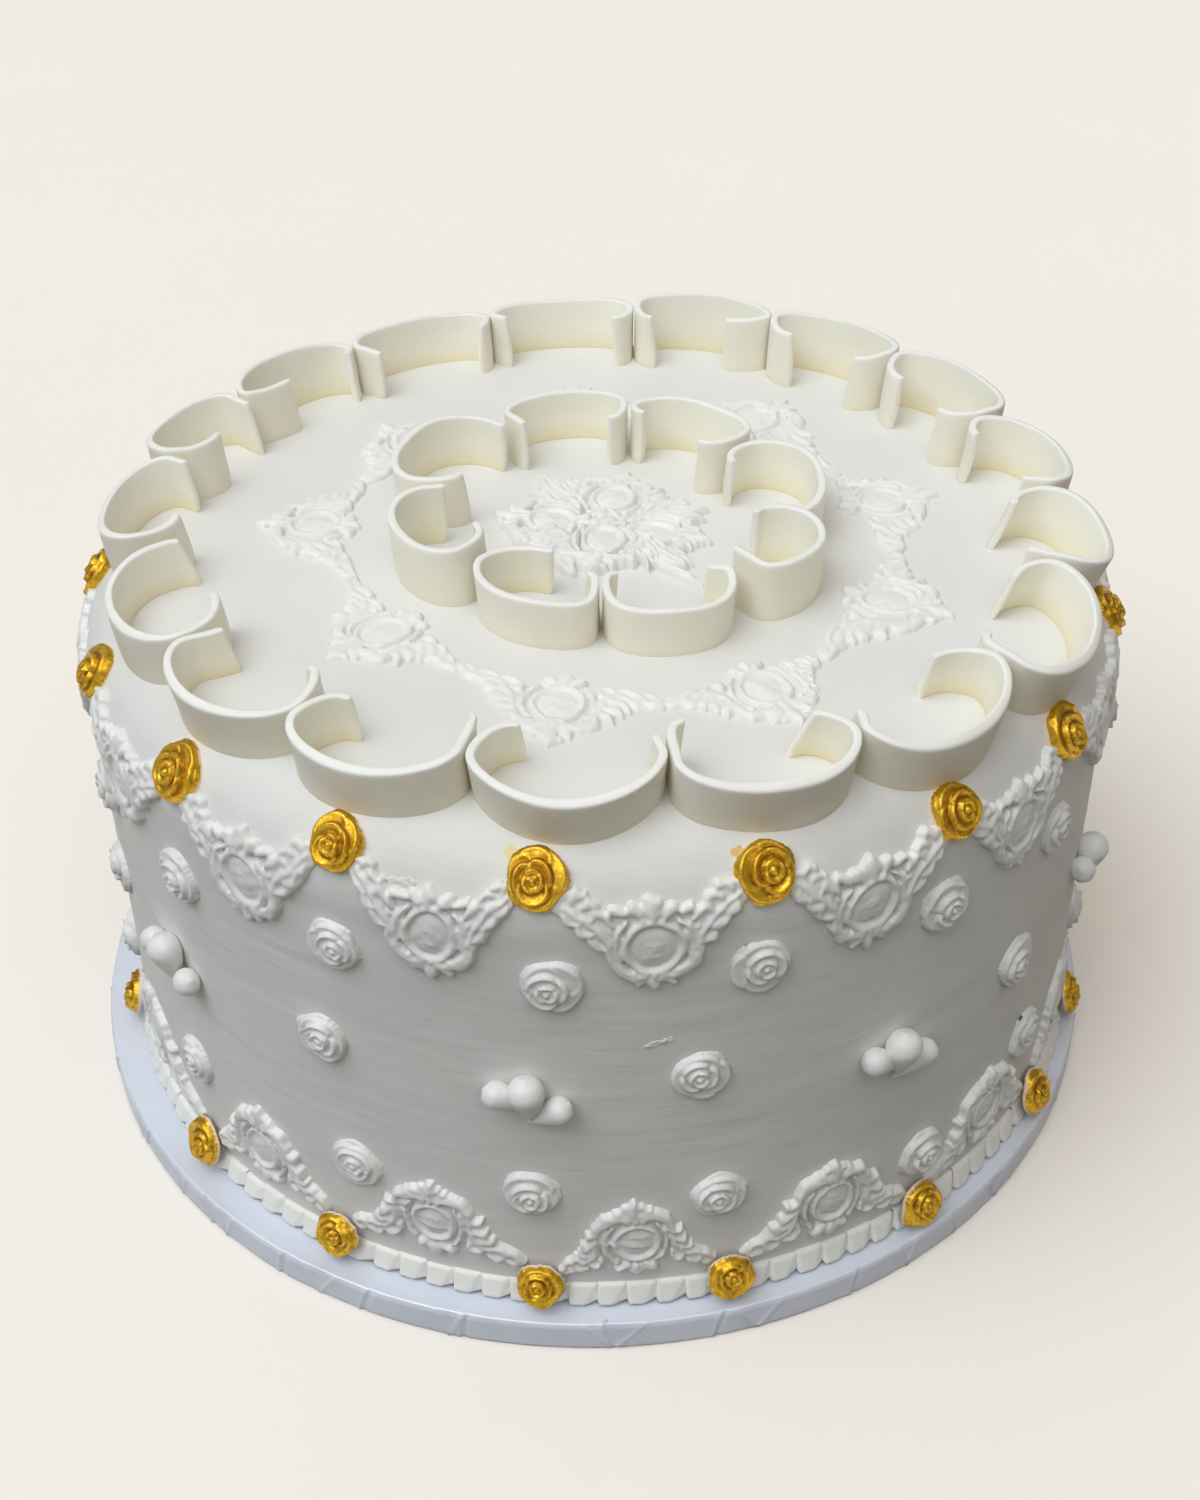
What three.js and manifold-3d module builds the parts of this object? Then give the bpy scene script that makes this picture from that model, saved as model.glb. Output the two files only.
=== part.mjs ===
// A tall round buttercream cake on its foil-covered cake drum.
// Millimetres, +Z up. The origin is the middle of the drum's underside.
// The cake is iced smooth with a rounded shoulder. It carries two rings of upright
// fondant ribbons bent like the letter C, moulded scrollwork, gold and white roses,
// trios of piped drops and a border of piped beads.
import * as THREE from 'three';
import { mergeVertices } from 'three/addons/utils/BufferGeometryUtils.js';
import Module from 'manifold-3d';

const wasm = await Module();
wasm.setup();

// Driving dimensions
const DRUM_RADIUS = 203.2;
const DRUM_THICKNESS = 12.7;
const DRUM_EDGE = 0.8;
const GAP = 0.3;
const CAKE_RADIUS = 189;
const CAKE_TOP = 209.7;
const SHOULDER = 30;
const CAKE_X = 4;
const CAKE_Y = -2.3;
const SHOULDER_STEPS = 4;
const ROUND_SIDES = 60;

// Piped bead border: each bead is a peak, with a lower valley before the next
const BEAD_COUNT = 117;
const BEAD_HEIGHT = 9.2;
const BEAD_DEPTH = 4.4;
const BEAD_DIP = 2;
const BEAD_TOP_DEPTH = 1.6;

// Upright ribbons of fondant, and the middle of their two rings, off the cake's axis
const RIBBON_THICKNESS = 3;
const RIBBON_STEPS = 11;
const RIBBON_LIFT = 0.5;
const OUTER_RING = [2, -3];
const INNER_RING = [2, 0];
// Where an end lies further than the reach from the widest place, it curls back behind the
// corner. The rest shapes that bend.
const CURL_REACH = 7;
const CURL_SHARE = 0.28;
const CURL_ROUND = 5;
const CURL_DROP = 0.68;
const END_BEND = 0.2;
const END_DIP = 0.4;

// Azimuths in degrees, anticlockwise from +X, of the notches between the ribbons. Each ribbon
// is [height at its ends, height at its middle, outward lean of the top edge], then the top
// edge's places as [sideways, radius] in the ribbon's own wedge: the clockwise end, the widest
// place on that side, the outermost place, the widest place and the end on the other side.
const OUTER_NOTCHES = [-105.3, -82.9, -61.8, -39.9, -17.4, 0.4, 20.5, 42.3, 63.6, 84.8,
  106.8, 128.9, 150.5, 169, 190.3, 213.2, 234];
const OUTER_RIBBONS = [
  [17.3, 17.3, 5, [-15.1, 141.5], [-29, 155.6], [-0.4, 175.7], [28.6, 153.6], [25.6, 144.5]],
  [18, 18, 4, [-19.9, 141], [-28.1, 160.6], [5.8, 175.8], [28.2, 161.1], [15.7, 149.5]],
  [18.3, 18.3, 4.5, [-23.4, 152.3], [-29.7, 162.7], [0.3, 179.2], [29.3, 160.8], [12.9, 148.9]],
  [18.3, 18.3, 6.5, [-24.3, 154.3], [-31.7, 168.5], [-2.1, 183.2], [29.7, 158.5], [13.9, 150.1]],
  [19.8, 19.8, 7, [-21.9, 151.4], [-24.4, 167.3], [-7.5, 179.9], [22.9, 157.6], [10.1, 147.1]],
  [21.5, 21.5, 3, [-22.1, 150.3], [-26.6, 160.5], [1.3, 174.9], [25.1, 152.1], [12.7, 146.1]],
  [22, 24.4, 3, [-16.8, 142], [-29, 160], [0.3, 172.5], [29, 160], [11.3, 147]],
  [22, 24.4, 3, [-16.6, 147], [-28.3, 160.1], [0.5, 173.5], [28.3, 159.9], [12.4, 150]],
  [22, 24.4, 3, [-11.3, 154.5], [-28.1, 160], [-0.3, 173.5], [28.2, 160], [17.7, 149]],
  [20.3, 20.3, 4, [-20.9, 149.9], [-29.3, 159.8], [-1.1, 173], [29.3, 160.2], [23.1, 154.1]],
  [19.8, 19.8, 4, [-22.3, 153.1], [-29.5, 160.1], [0.8, 173], [29.4, 159.9], [23.6, 148.9]],
  [20.5, 23.5, 4, [-23.1, 155], [-28.7, 160], [-0.2, 173.5], [28.7, 160], [7.9, 156]],
  [20.5, 23, 3, [-19.7, 152.6], [-25.3, 166.6], [-1.8, 180.2], [25.1, 165.4], [5.2, 153.2]],
  [20.5, 20.5, 3, [-23.7, 154], [-28.7, 162.1], [2.2, 179.9], [29.2, 164.9], [12.8, 151]],
  [18.5, 18.5, 2.5, [-27.8, 146.1], [-28.6, 150.3], [-0.5, 177.9], [31.1, 162.3], [8.9, 144.7]],
  [18, 18, 3.5, [-23.3, 147.9], [-27.9, 162], [-4.7, 176.6], [27.3, 158.4], [9.8, 141.6]],
  [18, 18, 3, [-15.2, 147.8], [-27.8, 162.3], [-5.1, 174.7], [27.1, 158.3], [18.4, 139.8]],
];
const INNER_NOTCHES = [-134.4, -90.7, -49.5, -15.2, 34.2, 80.6, 124, 177.3];
const INNER_RIBBONS = [
  [18.3, 18.3, 1.5, [0, 44.9], [-20.9, 58.1], [3.3, 77.9], [23.8, 68.8], [15.7, 53.7]],
  [18, 18, 1.5, [-14.8, 54.3], [-22.2, 69.4], [3.9, 85], [21.6, 65.1], [15.1, 61.1]],
  [22.6, 22.6, 1.5, [-16.4, 64.7], [-20.5, 77.3], [-1.6, 87.2], [18.2, 68.9], [8.7, 58.3]],
  [19.5, 19.5, 1.5, [-22.3, 57.6], [-27.2, 66.3], [5.2, 81.4], [25.9, 63.1], [11.6, 51.4]],
  [21, 21, 1.5, [-12.2, 48.4], [-24.1, 63.2], [0.2, 76.9], [23.7, 61.9], [16.6, 57.6]],
  [19.5, 19.5, 1.5, [-14.7, 55.2], [-23.9, 67.6], [-1.2, 81.5], [22, 68.4], [17.5, 56.8]],
  [19.5, 19.5, 1.5, [-26.1, 57.5], [-27.5, 65.3], [-8.6, 85.3], [25.1, 65.7], [12.9, 51.3]],
  [22.5, 22.5, 1.5, [-18.5, 54.2], [-20.7, 62.2], [1.5, 78.1], [25.9, 64.1], [10.9, 51.7]],
];

// Roses: size, and where each stands as [azimuth, distance up the cake's surface].
// The rest of a row continues evenly at the row's usual level.
const ROSE_RADIUS = 9.3;
const ROSE_HEIGHT = 4.2;
const UPPER_ROSE_COUNT = 17;
const UPPER_ROSE_LEVEL = 198;
const UPPER_ROSE_LIFT = 2.3;
const UPPER_ROSES = [[-179.2, 199], [-159, 197], [-136.8, 198], [-115.7, 200], [-95.8, 199.5],
  [-74.4, 197], [-53.4, 196], [-34.5, 194.5], [-10.3, 195.5]];
const LOWER_ROSE_COUNT = 16;
const LOWER_ROSE_LEVEL = 24;
const LOWER_ROSE_OFFSET = 5;
const LOWER_ROSE_TILT = 15;
const LOWER_ROSES = [[-167.4, 24], [-140, 25], [-119.3, 24.5], [-96.6, 24.5], [-77, 23.5],
  [-54, 23], [-32, 24], [-14.5, 24]];

// Trios of piped drops, each drop as [head radius, tail length, turn in radians, x, y],
// and the white roses of the side
const DROPS = [[4.9, 12, 1.15, -12.2, 2.6], [6.3, 14, 0.08, -0.4, 4.2], [5.2, 15, -1.1, 11.8, -2.2]];
const TRIO_COUNT = 9;
const TRIO_LEVEL = 112;
const TRIOS = [[-141, 113], [-97, 114], [-59, 107], [-21.5, 113]];
const WHITE_ROSE_SINK = 1;
const WHITE_ROSE_SIDES = 7;
const GOLD_ROSE_SIDES = 8;
const HIGH_ROW_LEVEL = 160;
const HIGH_ROW = [[-176, 160], [-155, 158], [-137.5, 156], [-116.2, 162], [-94.5, 161], [-75, 163],
  [-54.7, 162.5], [-35.6, 158]];
const MIDDLE_ROW_LEVEL = 116;
const MIDDLE_ROW = [[-158, 113], [-118.9, 118], [-80.4, 120], [-40.7, 110]];
const LOW_ROW_LEVEL = 62;
const LOW_ROW = [[-165, 62], [-141, 62], [-116.5, 62], [-97.3, 67], [-78.2, 62.5], [-53.6, 45.5],
  [-35.5, 62]];

// Moulded scrollwork: half the piece as [fraction of its half width, low edge, high edge,
// relief], from its middle to its tip
const UPPER_SCROLL = [
  [0, 158.5, 194, 3], [0.22, 163, 190, 3], [0.5, 174, 190, 2.5],
  [0.78, 184, 194.5, 1.2], [1, 194, 199, 0.6],
];
const LOWER_SCROLL = [
  [0, 30, 68, 3], [0.26, 29, 61, 3], [0.55, 26.5, 48, 2.5],
  [0.84, 24.5, 36, 2], [1, 23.2, 30, 6],
];
const STAR_SCROLL = [
  [0, 93, 133, 3], [0.16, 93, 121, 3], [0.4, 96.5, 112, 2.6], [0.7, 97, 106, 2], [1, 98, 104.5, 1.8],
];
const STAR_AZIMUTHS = [-139, -98.5, -63, -25.5, 11.2, 54.4, 94, 134, 174.7];
const SCROLL_LIFT = 0.8;
const SCROLL_BEVEL = 1.2;

// Medallion in the middle of the top
const MEDALLION_RADIUS = 36;
const MEDALLION_LOBE = 3.5;
const MEDALLION_LOBES = 5;
const MEDALLION_TURN = 0.85;
const MEDALLION_SIDES = 22;
const MEDALLION_THICKNESS = 3.1;
const MEDALLION_EDGE = 2.3;

const icing = new THREE.MeshStandardMaterial({ color: 0xf1efe9, roughness: 0.6, metalness: 0 });
const fondant = new THREE.MeshStandardMaterial({ color: 0xf3efdf, roughness: 0.55, metalness: 0 });
const gold = new THREE.MeshStandardMaterial({ color: 0xc7950f, roughness: 0.35, metalness: 0.9 });
const foil = new THREE.MeshStandardMaterial({ color: 0xdfe0ee, roughness: 0.4, metalness: 0.1 });

const radians = THREE.MathUtils.degToRad;

// Small repeatable unevenness between -1 and 1
let seed = 7;
function uneven() {
  seed = (seed * 16807) % 2147483647;
  return (seed / 2147483647) * 2 - 1;
}

// A point on the iced surface: azimuth, distance up the side and over the shoulder, and lift
const SHOULDER_START = CAKE_TOP - SHOULDER;
function onCake(azimuth, level, lift) {
  const turn = Math.min(Math.max((level - SHOULDER_START) / SHOULDER, 0), Math.PI / 2);
  const beyond = Math.max(level - SHOULDER_START - SHOULDER * Math.PI / 2, 0);
  const radius = CAKE_RADIUS - SHOULDER + (SHOULDER + lift) * Math.cos(turn) - beyond;
  const height = Math.min(level, SHOULDER_START) + (SHOULDER + lift) * Math.sin(turn);
  return new THREE.Vector3(radius * Math.cos(azimuth), radius * Math.sin(azimuth), height);
}

// Height of the iced surface at a radius
function iceHeight(radius) {
  const out = Math.max(radius - (CAKE_RADIUS - SHOULDER), 0);
  return CAKE_TOP - SHOULDER + Math.sqrt(Math.max(SHOULDER ** 2 - out ** 2, 0));
}

// Bends a flat ornament, drawn with x sideways, y up and z off the surface, round the cake
function wrap(geometry, azimuth, level, lift) {
  const points = geometry.attributes.position;
  for (let i = 0; i < points.count; i += 1) {
    const around = azimuth + points.getX(i) / CAKE_RADIUS;
    const spot = onCake(around, level + points.getY(i), lift + points.getZ(i));
    points.setXYZ(i, spot.x, spot.y, spot.z);
  }
  return geometry;
}

function closed(positions, triangles) {
  const geometry = new THREE.BufferGeometry();
  geometry.setAttribute('position', new THREE.Float32BufferAttribute(positions, 3));
  geometry.setIndex(triangles);
  return geometry;
}

// Skins a row of equal sections. A ring joins the last section to the first,
// and an open row gets a cap at each end.
function loft(sections, ring) {
  const size = sections[0].length;
  const positions = sections.flat().flatMap((p) => [p.x, p.y, p.z]);
  const triangles = [];
  const last = ring ? sections.length : sections.length - 1;
  for (let i = 0; i < last; i += 1) {
    const next = (i + 1) % sections.length;
    for (let j = 0; j < size; j += 1) {
      const a = i * size + j;
      const b = i * size + (j + 1) % size;
      const c = next * size + (j + 1) % size;
      const d = next * size + j;
      triangles.push(a, b, c, a, c, d);
    }
  }
  if (!ring) {
    const end = (sections.length - 1) * size;
    for (let j = 1; j < size - 1; j += 1) {
      triangles.push(0, j + 1, j, end, end + j, end + j + 1);
    }
  }
  return closed(positions, triangles);
}

// Solid of revolution about +Z from a profile of [radius, height] that starts and ends on the axis
function turned(profile, sides) {
  const geometry = new THREE.LatheGeometry(profile.map(([r, z]) => new THREE.Vector2(r, z)), sides);
  return geometry.rotateX(Math.PI / 2);
}

function toSolid(geometry) {
  const bare = geometry.clone();
  bare.deleteAttribute('normal');
  bare.deleteAttribute('uv');
  const merged = mergeVertices(bare, 1e-4);
  const vertProperties = new Float32Array(merged.attributes.position.array);
  const triVerts = new Uint32Array(merged.index.array);
  return new wasm.Manifold(new wasm.Mesh({ numProp: 3, vertProperties, triVerts }));
}

function toGeometry(solid) {
  const mesh = solid.getMesh();
  return closed(Array.from(mesh.vertProperties), Array.from(mesh.triVerts));
}

// Fills the part of a row that the listed places leave open with even steps
function roundTheCake(count, listed, level) {
  const from = listed[listed.length - 1][0];
  const step = (listed[0][0] + 360 - from) / (count - listed.length + 1);
  const filled = Array.from({ length: count - listed.length }, (_, k) => [from + step * (k + 1) + uneven(),
    level + 1.5 * uneven()]);
  return listed.concat(filled);
}

// A flat-backed low dome with a raised bud: the mass of a moulded rose
function roseDome(radius, height, sides) {
  const rings = [[radius, 0], [radius, height * 0.45], [radius * 0.62, height * 0.85]];
  const positions = [0, 0, 0];
  for (const [r, z] of rings) {
    for (let k = 0; k < sides; k += 1) {
      const angle = (k / sides) * 2 * Math.PI + z * 0.12;
      const wave = 1 + 0.05 * Math.cos(3 * angle);
      positions.push(r * wave * Math.cos(angle), r * wave * Math.sin(angle), z);
    }
  }
  positions.push(radius * 0.08, -radius * 0.1, height);
  const triangles = [];
  const top = positions.length / 3 - 1;
  for (let k = 0; k < sides; k += 1) {
    const next = (k + 1) % sides;
    triangles.push(0, 1 + next, 1 + k);
    for (let i = 0; i < rings.length - 1; i += 1) {
      const a = 1 + i * sides + k;
      const b = 1 + i * sides + next;
      triangles.push(a, b, b + sides, a, b + sides, a + sides);
    }
    const rim = 1 + (rings.length - 1) * sides;
    triangles.push(rim + k, rim + next, top);
  }
  return closed(positions, triangles);
}

// A piped drop lying on the surface: round head, tail running down to a point
function drop(radius, tail, angle, x, y) {
  const profile = [[0, -tail], [radius, -radius * 0.2], [radius * 0.75, radius * 0.7], [0, radius * 1.05]];
  const geometry = new THREE.LatheGeometry(profile.map(([r, h]) => new THREE.Vector2(r, h)), 6);
  geometry.rotateZ(angle).translate(x, y, radius * 0.72);
  const points = geometry.attributes.position;
  for (let i = 0; i < points.count; i += 1) {
    points.setZ(i, Math.max(points.getZ(i), 0));
  }
  return toSolid(geometry);
}

function dropTrio(size, turn) {
  const drops = DROPS.map(([radius, tail, angle, x, y]) => drop(radius * size, tail, angle + turn, x, y));
  return toGeometry(drops.reduce((whole, piece) => whole.add(piece)));
}

// Scrollwork that runs right round, with one piece between each pair
// of azimuths. Where the surface bends at a level, each section is folded there.
function scrollRing(azimuths, scroll, place, bend) {
  const sections = [];
  azimuths.forEach((start, k) => {
    const stop = k + 1 < azimuths.length ? azimuths[k + 1] : azimuths[0] + 360;
    const middle = (start + stop) / 2;
    const columns = scroll.slice().reverse().map((row) => [-row[0], ...row.slice(1)]);
    columns.push(...scroll.slice(1, -1));
    for (const [part, low, high, relief] of columns) {
      const azimuth = radians(middle + part * (stop - start) / 2);
      const bevel = Math.min(SCROLL_BEVEL, (high - low) / 5);
      const section = [
        place(azimuth, low, SCROLL_LIFT),
        place(azimuth, high, SCROLL_LIFT),
        place(azimuth, high - bevel, SCROLL_LIFT + relief),
        place(azimuth, low + bevel, SCROLL_LIFT + relief),
      ];
      if (bend) {
        const fold = Math.min(Math.max(bend, low + bevel + 1), high - bevel - 1);
        section.splice(1, 0, place(azimuth, fold, SCROLL_LIFT));
      }
      sections.push(section);
    }
  });
  return loft(sections, true);
}

// The top edge of one ribbon, from its clockwise end to the other. A quarter of an ellipse joins
// each widest place to the outermost one. The line stays inside its own wedge.
function ribbonLine([firstEnd, firstWide, outermost, lastWide, lastEnd], half) {
  const arc = (wide) => [0, 0.25, 0.5, 0.75].map((part) => {
    const turn = (part * Math.PI) / 2;
    const x = outermost[0] + (wide[0] - outermost[0]) * Math.cos(turn);
    return [x, wide[1] + (outermost[1] - wide[1]) * Math.sin(turn)];
  });
  const arm = (wide, end) => {
    const reach = wide[0] - end[0];
    if (Math.abs(reach) < CURL_REACH) {
      return [end, [(wide[0] + end[0]) / 2, (wide[1] + end[1]) / 2]];
    }
    const x = wide[0] - Math.sign(reach) * Math.min(CURL_SHARE * Math.abs(reach), CURL_ROUND);
    const y = wide[1] + CURL_DROP * (end[1] - wide[1]);
    return [end, [(end[0] + x) / 2, end[1] + END_BEND * (y - end[1]) - END_DIP], [x, y]];
  };
  const before = [...arm(firstWide, firstEnd), ...arc(firstWide)];
  const after = [...arm(lastWide, lastEnd), ...arc(lastWide)].reverse();
  const line = [...before, outermost, ...after].map(([x, y]) => new THREE.Vector3(x, y, 0));
  const points = new THREE.CatmullRomCurve3(line, false, 'centripetal').getSpacedPoints(RIBBON_STEPS);
  return points.map((p) => {
    const room = p.y * Math.tan(half) - RIBBON_THICKNESS / 2 - GAP;
    return p.setX(THREE.MathUtils.clamp(p.x, -room, room));
  });
}

// An upright ribbon that stands on the icing, from its top edge in its own wedge's frame
function ribbon(middle, line, ring, ends, crest, lean) {
  const sections = [];
  for (let i = 0; i < line.length; i += 1) {
    const at = line[i];
    const before = line[Math.max(i - 1, 0)];
    const after = line[Math.min(i + 1, line.length - 1)];
    const across = new THREE.Vector3(before.y - after.y, after.x - before.x, 0);
    across.setLength(RIBBON_THICKNESS / 2);
    const height = ends + (crest - ends) * Math.sin((i / (line.length - 1)) * Math.PI) ** 2;
    const corner = (side, up) => {
      const x = at.x + side * across.x;
      const y = at.y + side * across.y;
      const radius = Math.hypot(x, y) - lean;
      const azimuth = middle + Math.atan2(x, y);
      const outward = new THREE.Vector3(Math.cos(azimuth), Math.sin(azimuth), 0);
      const spot = new THREE.Vector3(ring[0], ring[1], 0).addScaledVector(outward, radius);
      const steep = Math.max(spot.length() - (CAKE_RADIUS - SHOULDER), 0) / SHOULDER;
      const foot = iceHeight(spot.length()) + RIBBON_LIFT * (1 + steep);
      spot.addScaledVector(outward, up * lean);
      return spot.setZ(foot + up * height);
    };
    sections.push([corner(1, 0), corner(-1, 0), corner(-1, 1), corner(1, 1)]);
  }
  return loft(sections, false);
}

const group = new THREE.Group();
const cake = new THREE.Group();
cake.position.set(CAKE_X, CAKE_Y, 0);
group.add(cake);

// Adds a mesh, turning its faces outward if they were built the other way
function add(parent, name, geometry, material) {
  let solid = toSolid(geometry);
  if (solid.volume() < 0) {
    const index = geometry.index.array;
    for (let i = 0; i < index.length; i += 3) {
      [index[i], index[i + 1]] = [index[i + 1], index[i]];
    }
    solid = toSolid(geometry);
  }
  const mesh = new THREE.Mesh(toGeometry(solid), material);
  mesh.name = name;
  parent.add(mesh);
}

function number(k) {
  return String(k + 1).padStart(2, '0');
}

// The drum
add(group, 'cake_drum', turned([[0, 0], [DRUM_RADIUS, 0], [DRUM_RADIUS, DRUM_THICKNESS - DRUM_EDGE],
  [DRUM_RADIUS - DRUM_EDGE, DRUM_THICKNESS], [0, DRUM_THICKNESS]], ROUND_SIDES), foil);

// The iced cake, with the white roses pressed into its side
const base = DRUM_THICKNESS + GAP;
const profile = [[0, base], [CAKE_RADIUS, base], [CAKE_RADIUS, SHOULDER_START]];
for (let i = 1; i <= SHOULDER_STEPS; i += 1) {
  const edge = onCake(0, SHOULDER_START + (i / SHOULDER_STEPS) * SHOULDER * Math.PI / 2, 0);
  profile.push([edge.x, edge.z]);
}
profile.push([0, CAKE_TOP]);
let body = toSolid(turned(profile, ROUND_SIDES));
const whiteRoses = [
  ...roundTheCake(UPPER_ROSE_COUNT, HIGH_ROW, HIGH_ROW_LEVEL),
  ...roundTheCake(TRIO_COUNT, MIDDLE_ROW, MIDDLE_ROW_LEVEL),
  ...roundTheCake(LOWER_ROSE_COUNT, LOW_ROW, LOW_ROW_LEVEL),
];
for (const [azimuth, level] of whiteRoses) {
  const radius = ROSE_RADIUS * (0.97 + 0.05 * uneven());
  const rose = roseDome(radius, ROSE_HEIGHT + WHITE_ROSE_SINK, WHITE_ROSE_SIDES);
  body = body.add(toSolid(wrap(rose, radians(azimuth), level, -WHITE_ROSE_SINK)));
}
add(cake, 'cake_body', toGeometry(body), icing);

// The border: low piped beads, each with a peak and a valley beside it
const beads = [];
for (let k = 0; k < BEAD_COUNT * 2; k += 1) {
  const azimuth = (k / BEAD_COUNT) * Math.PI;
  const peak = k % 2 === 0 ? 1 : 0;
  const inner = CAKE_RADIUS + GAP;
  const outer = inner + BEAD_DEPTH - BEAD_DIP * (1 - peak);
  const top = base + BEAD_HEIGHT - BEAD_DIP * (1 - peak);
  beads.push([[inner, base], [outer, base + 1.5 * peak], [inner + BEAD_TOP_DEPTH, top]]
    .map(([r, z]) => new THREE.Vector3(r * Math.cos(azimuth), r * Math.sin(azimuth), z)));
}
add(cake, 'bead_border', loft(beads, true), icing);

// Scrollwork below the upper roses
const upperRoses = roundTheCake(UPPER_ROSE_COUNT, UPPER_ROSES, UPPER_ROSE_LEVEL);
const upperAzimuths = upperRoses.map(([azimuth]) => azimuth);
add(cake, 'upper_scrollwork', scrollRing(upperAzimuths, UPPER_SCROLL, onCake, SHOULDER_START), icing);

// Scrollwork round the foot, joined to the gold roses that sit between its pieces
const lowerRoses = roundTheCake(LOWER_ROSE_COUNT, LOWER_ROSES, LOWER_ROSE_LEVEL);
let foot = toSolid(scrollRing(lowerRoses.map(([azimuth]) => azimuth), LOWER_SCROLL, onCake));
for (const [azimuth, level] of lowerRoses) {
  const rose = roseDome(ROSE_RADIUS * (0.95 + 0.04 * uneven()), ROSE_HEIGHT, WHITE_ROSE_SIDES);
  rose.rotateX(radians(90 - LOWER_ROSE_TILT)).rotateZ(Math.PI / 2);
  rose.translate(CAKE_RADIUS + LOWER_ROSE_OFFSET, 0, level).rotateZ(radians(azimuth));
  foot = foot.add(toSolid(rose));
}
add(cake, 'lower_scrollwork', toGeometry(foot), icing);

// The star of scrollwork on the top, and the medallion in its middle
const onTop = (azimuth, radius, lift) => new THREE.Vector3(
  radius * Math.cos(azimuth), radius * Math.sin(azimuth), CAKE_TOP + lift);
const valleys = STAR_AZIMUTHS.map((here, k) => {
  const next = k + 1 < STAR_AZIMUTHS.length ? STAR_AZIMUTHS[k + 1] : STAR_AZIMUTHS[0] + 360;
  return (here + next) / 2;
});
add(cake, 'star_scrollwork', scrollRing(valleys, STAR_SCROLL, onTop), icing);
const medallion = [];
for (let k = 0; k < MEDALLION_SIDES; k += 1) {
  const angle = (k / MEDALLION_SIDES) * 2 * Math.PI;
  const lobe = MEDALLION_LOBE * Math.cos(MEDALLION_LOBES * (angle + MEDALLION_TURN));
  const reach = MEDALLION_RADIUS + lobe + uneven();
  medallion.push([onTop(angle, reach, GAP), onTop(angle, reach - 2, GAP + MEDALLION_EDGE)]);
}
const hub = [onTop(0, 0, GAP), onTop(0, 0, GAP + MEDALLION_THICKNESS)];
const medallionTriangles = [];
medallion.forEach((_, k) => {
  const a = 2 * k;
  const b = 2 * ((k + 1) % MEDALLION_SIDES);
  const low = 2 * MEDALLION_SIDES;
  medallionTriangles.push(low, b, a, a, b, b + 1, a, b + 1, a + 1, a + 1, b + 1, low + 1);
});
const medallionPoints = [...medallion, hub].flat().flatMap((p) => [p.x, p.y, p.z]);
add(cake, 'centre_medallion', closed(medallionPoints, medallionTriangles), icing);

// The two rings of ribbons
function ribbonRing(name, notches, ribbons, ring) {
  ribbons.forEach(([ends, crest, lean, ...places], k) => {
    const start = notches[k];
    const stop = k + 1 < notches.length ? notches[k + 1] : notches[0] + 360;
    const line = ribbonLine(places, radians((stop - start) / 2));
    const solid = ribbon(radians((start + stop) / 2), line, ring, ends, crest, lean);
    add(cake, `${name}_${number(k)}`, solid, fondant);
  });
}
ribbonRing('outer_ribbon', OUTER_NOTCHES, OUTER_RIBBONS, OUTER_RING);
ribbonRing('inner_ribbon', INNER_NOTCHES, INNER_RIBBONS, INNER_RING);

// Gold roses on the shoulder, and the trios of drops on the side
upperRoses.forEach(([azimuth, level], k) => {
  const rose = roseDome(ROSE_RADIUS + 0.3 * uneven(), ROSE_HEIGHT, GOLD_ROSE_SIDES);
  add(cake, `gold_rose_${number(k)}`, wrap(rose, radians(azimuth), level, UPPER_ROSE_LIFT), gold);
});
roundTheCake(TRIO_COUNT, TRIOS, TRIO_LEVEL).forEach(([azimuth, level], k) => {
  const trio = dropTrio(1 + 0.05 * uneven(), 0.15 * uneven());
  add(cake, `drop_trio_${number(k)}`, wrap(trio, radians(azimuth), level, GAP), icing);
});

export default group;
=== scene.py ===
"""Looks of the tall round buttercream cake on its foil-covered drum.

Lengths in this file are millimetres; a mesh is scaled to metres when it is made.
"""
import math
import random

import bpy
import numpy as np
from mathutils import Matrix


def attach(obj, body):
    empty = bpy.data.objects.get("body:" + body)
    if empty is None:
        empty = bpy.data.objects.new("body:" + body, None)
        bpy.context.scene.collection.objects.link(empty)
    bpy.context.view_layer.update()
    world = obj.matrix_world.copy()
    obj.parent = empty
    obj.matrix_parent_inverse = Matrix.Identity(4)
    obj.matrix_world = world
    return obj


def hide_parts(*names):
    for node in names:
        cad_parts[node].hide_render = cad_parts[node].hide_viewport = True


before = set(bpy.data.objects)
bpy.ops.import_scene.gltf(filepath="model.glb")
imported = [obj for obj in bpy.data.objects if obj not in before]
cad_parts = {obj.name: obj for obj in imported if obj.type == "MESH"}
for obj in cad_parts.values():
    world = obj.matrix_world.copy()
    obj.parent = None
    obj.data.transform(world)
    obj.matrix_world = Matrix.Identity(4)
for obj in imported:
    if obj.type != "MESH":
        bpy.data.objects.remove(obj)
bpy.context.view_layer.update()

MM = 0.001

# The same named sizes as the CAD source
DRUM_RADIUS = 203.2
DRUM_THICKNESS = 12.7
GAP = 0.3
CAKE_RADIUS = 189.0
CAKE_TOP = 209.7
SHOULDER = 30.0
SHOULDER_START = CAKE_TOP - SHOULDER
CAKE_X = 4.0
CAKE_Y = -2.3
BASE = DRUM_THICKNESS + GAP
BEAD_COUNT = 117
BEAD_HEIGHT = 9.2
BEAD_DEPTH = 4.4

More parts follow.
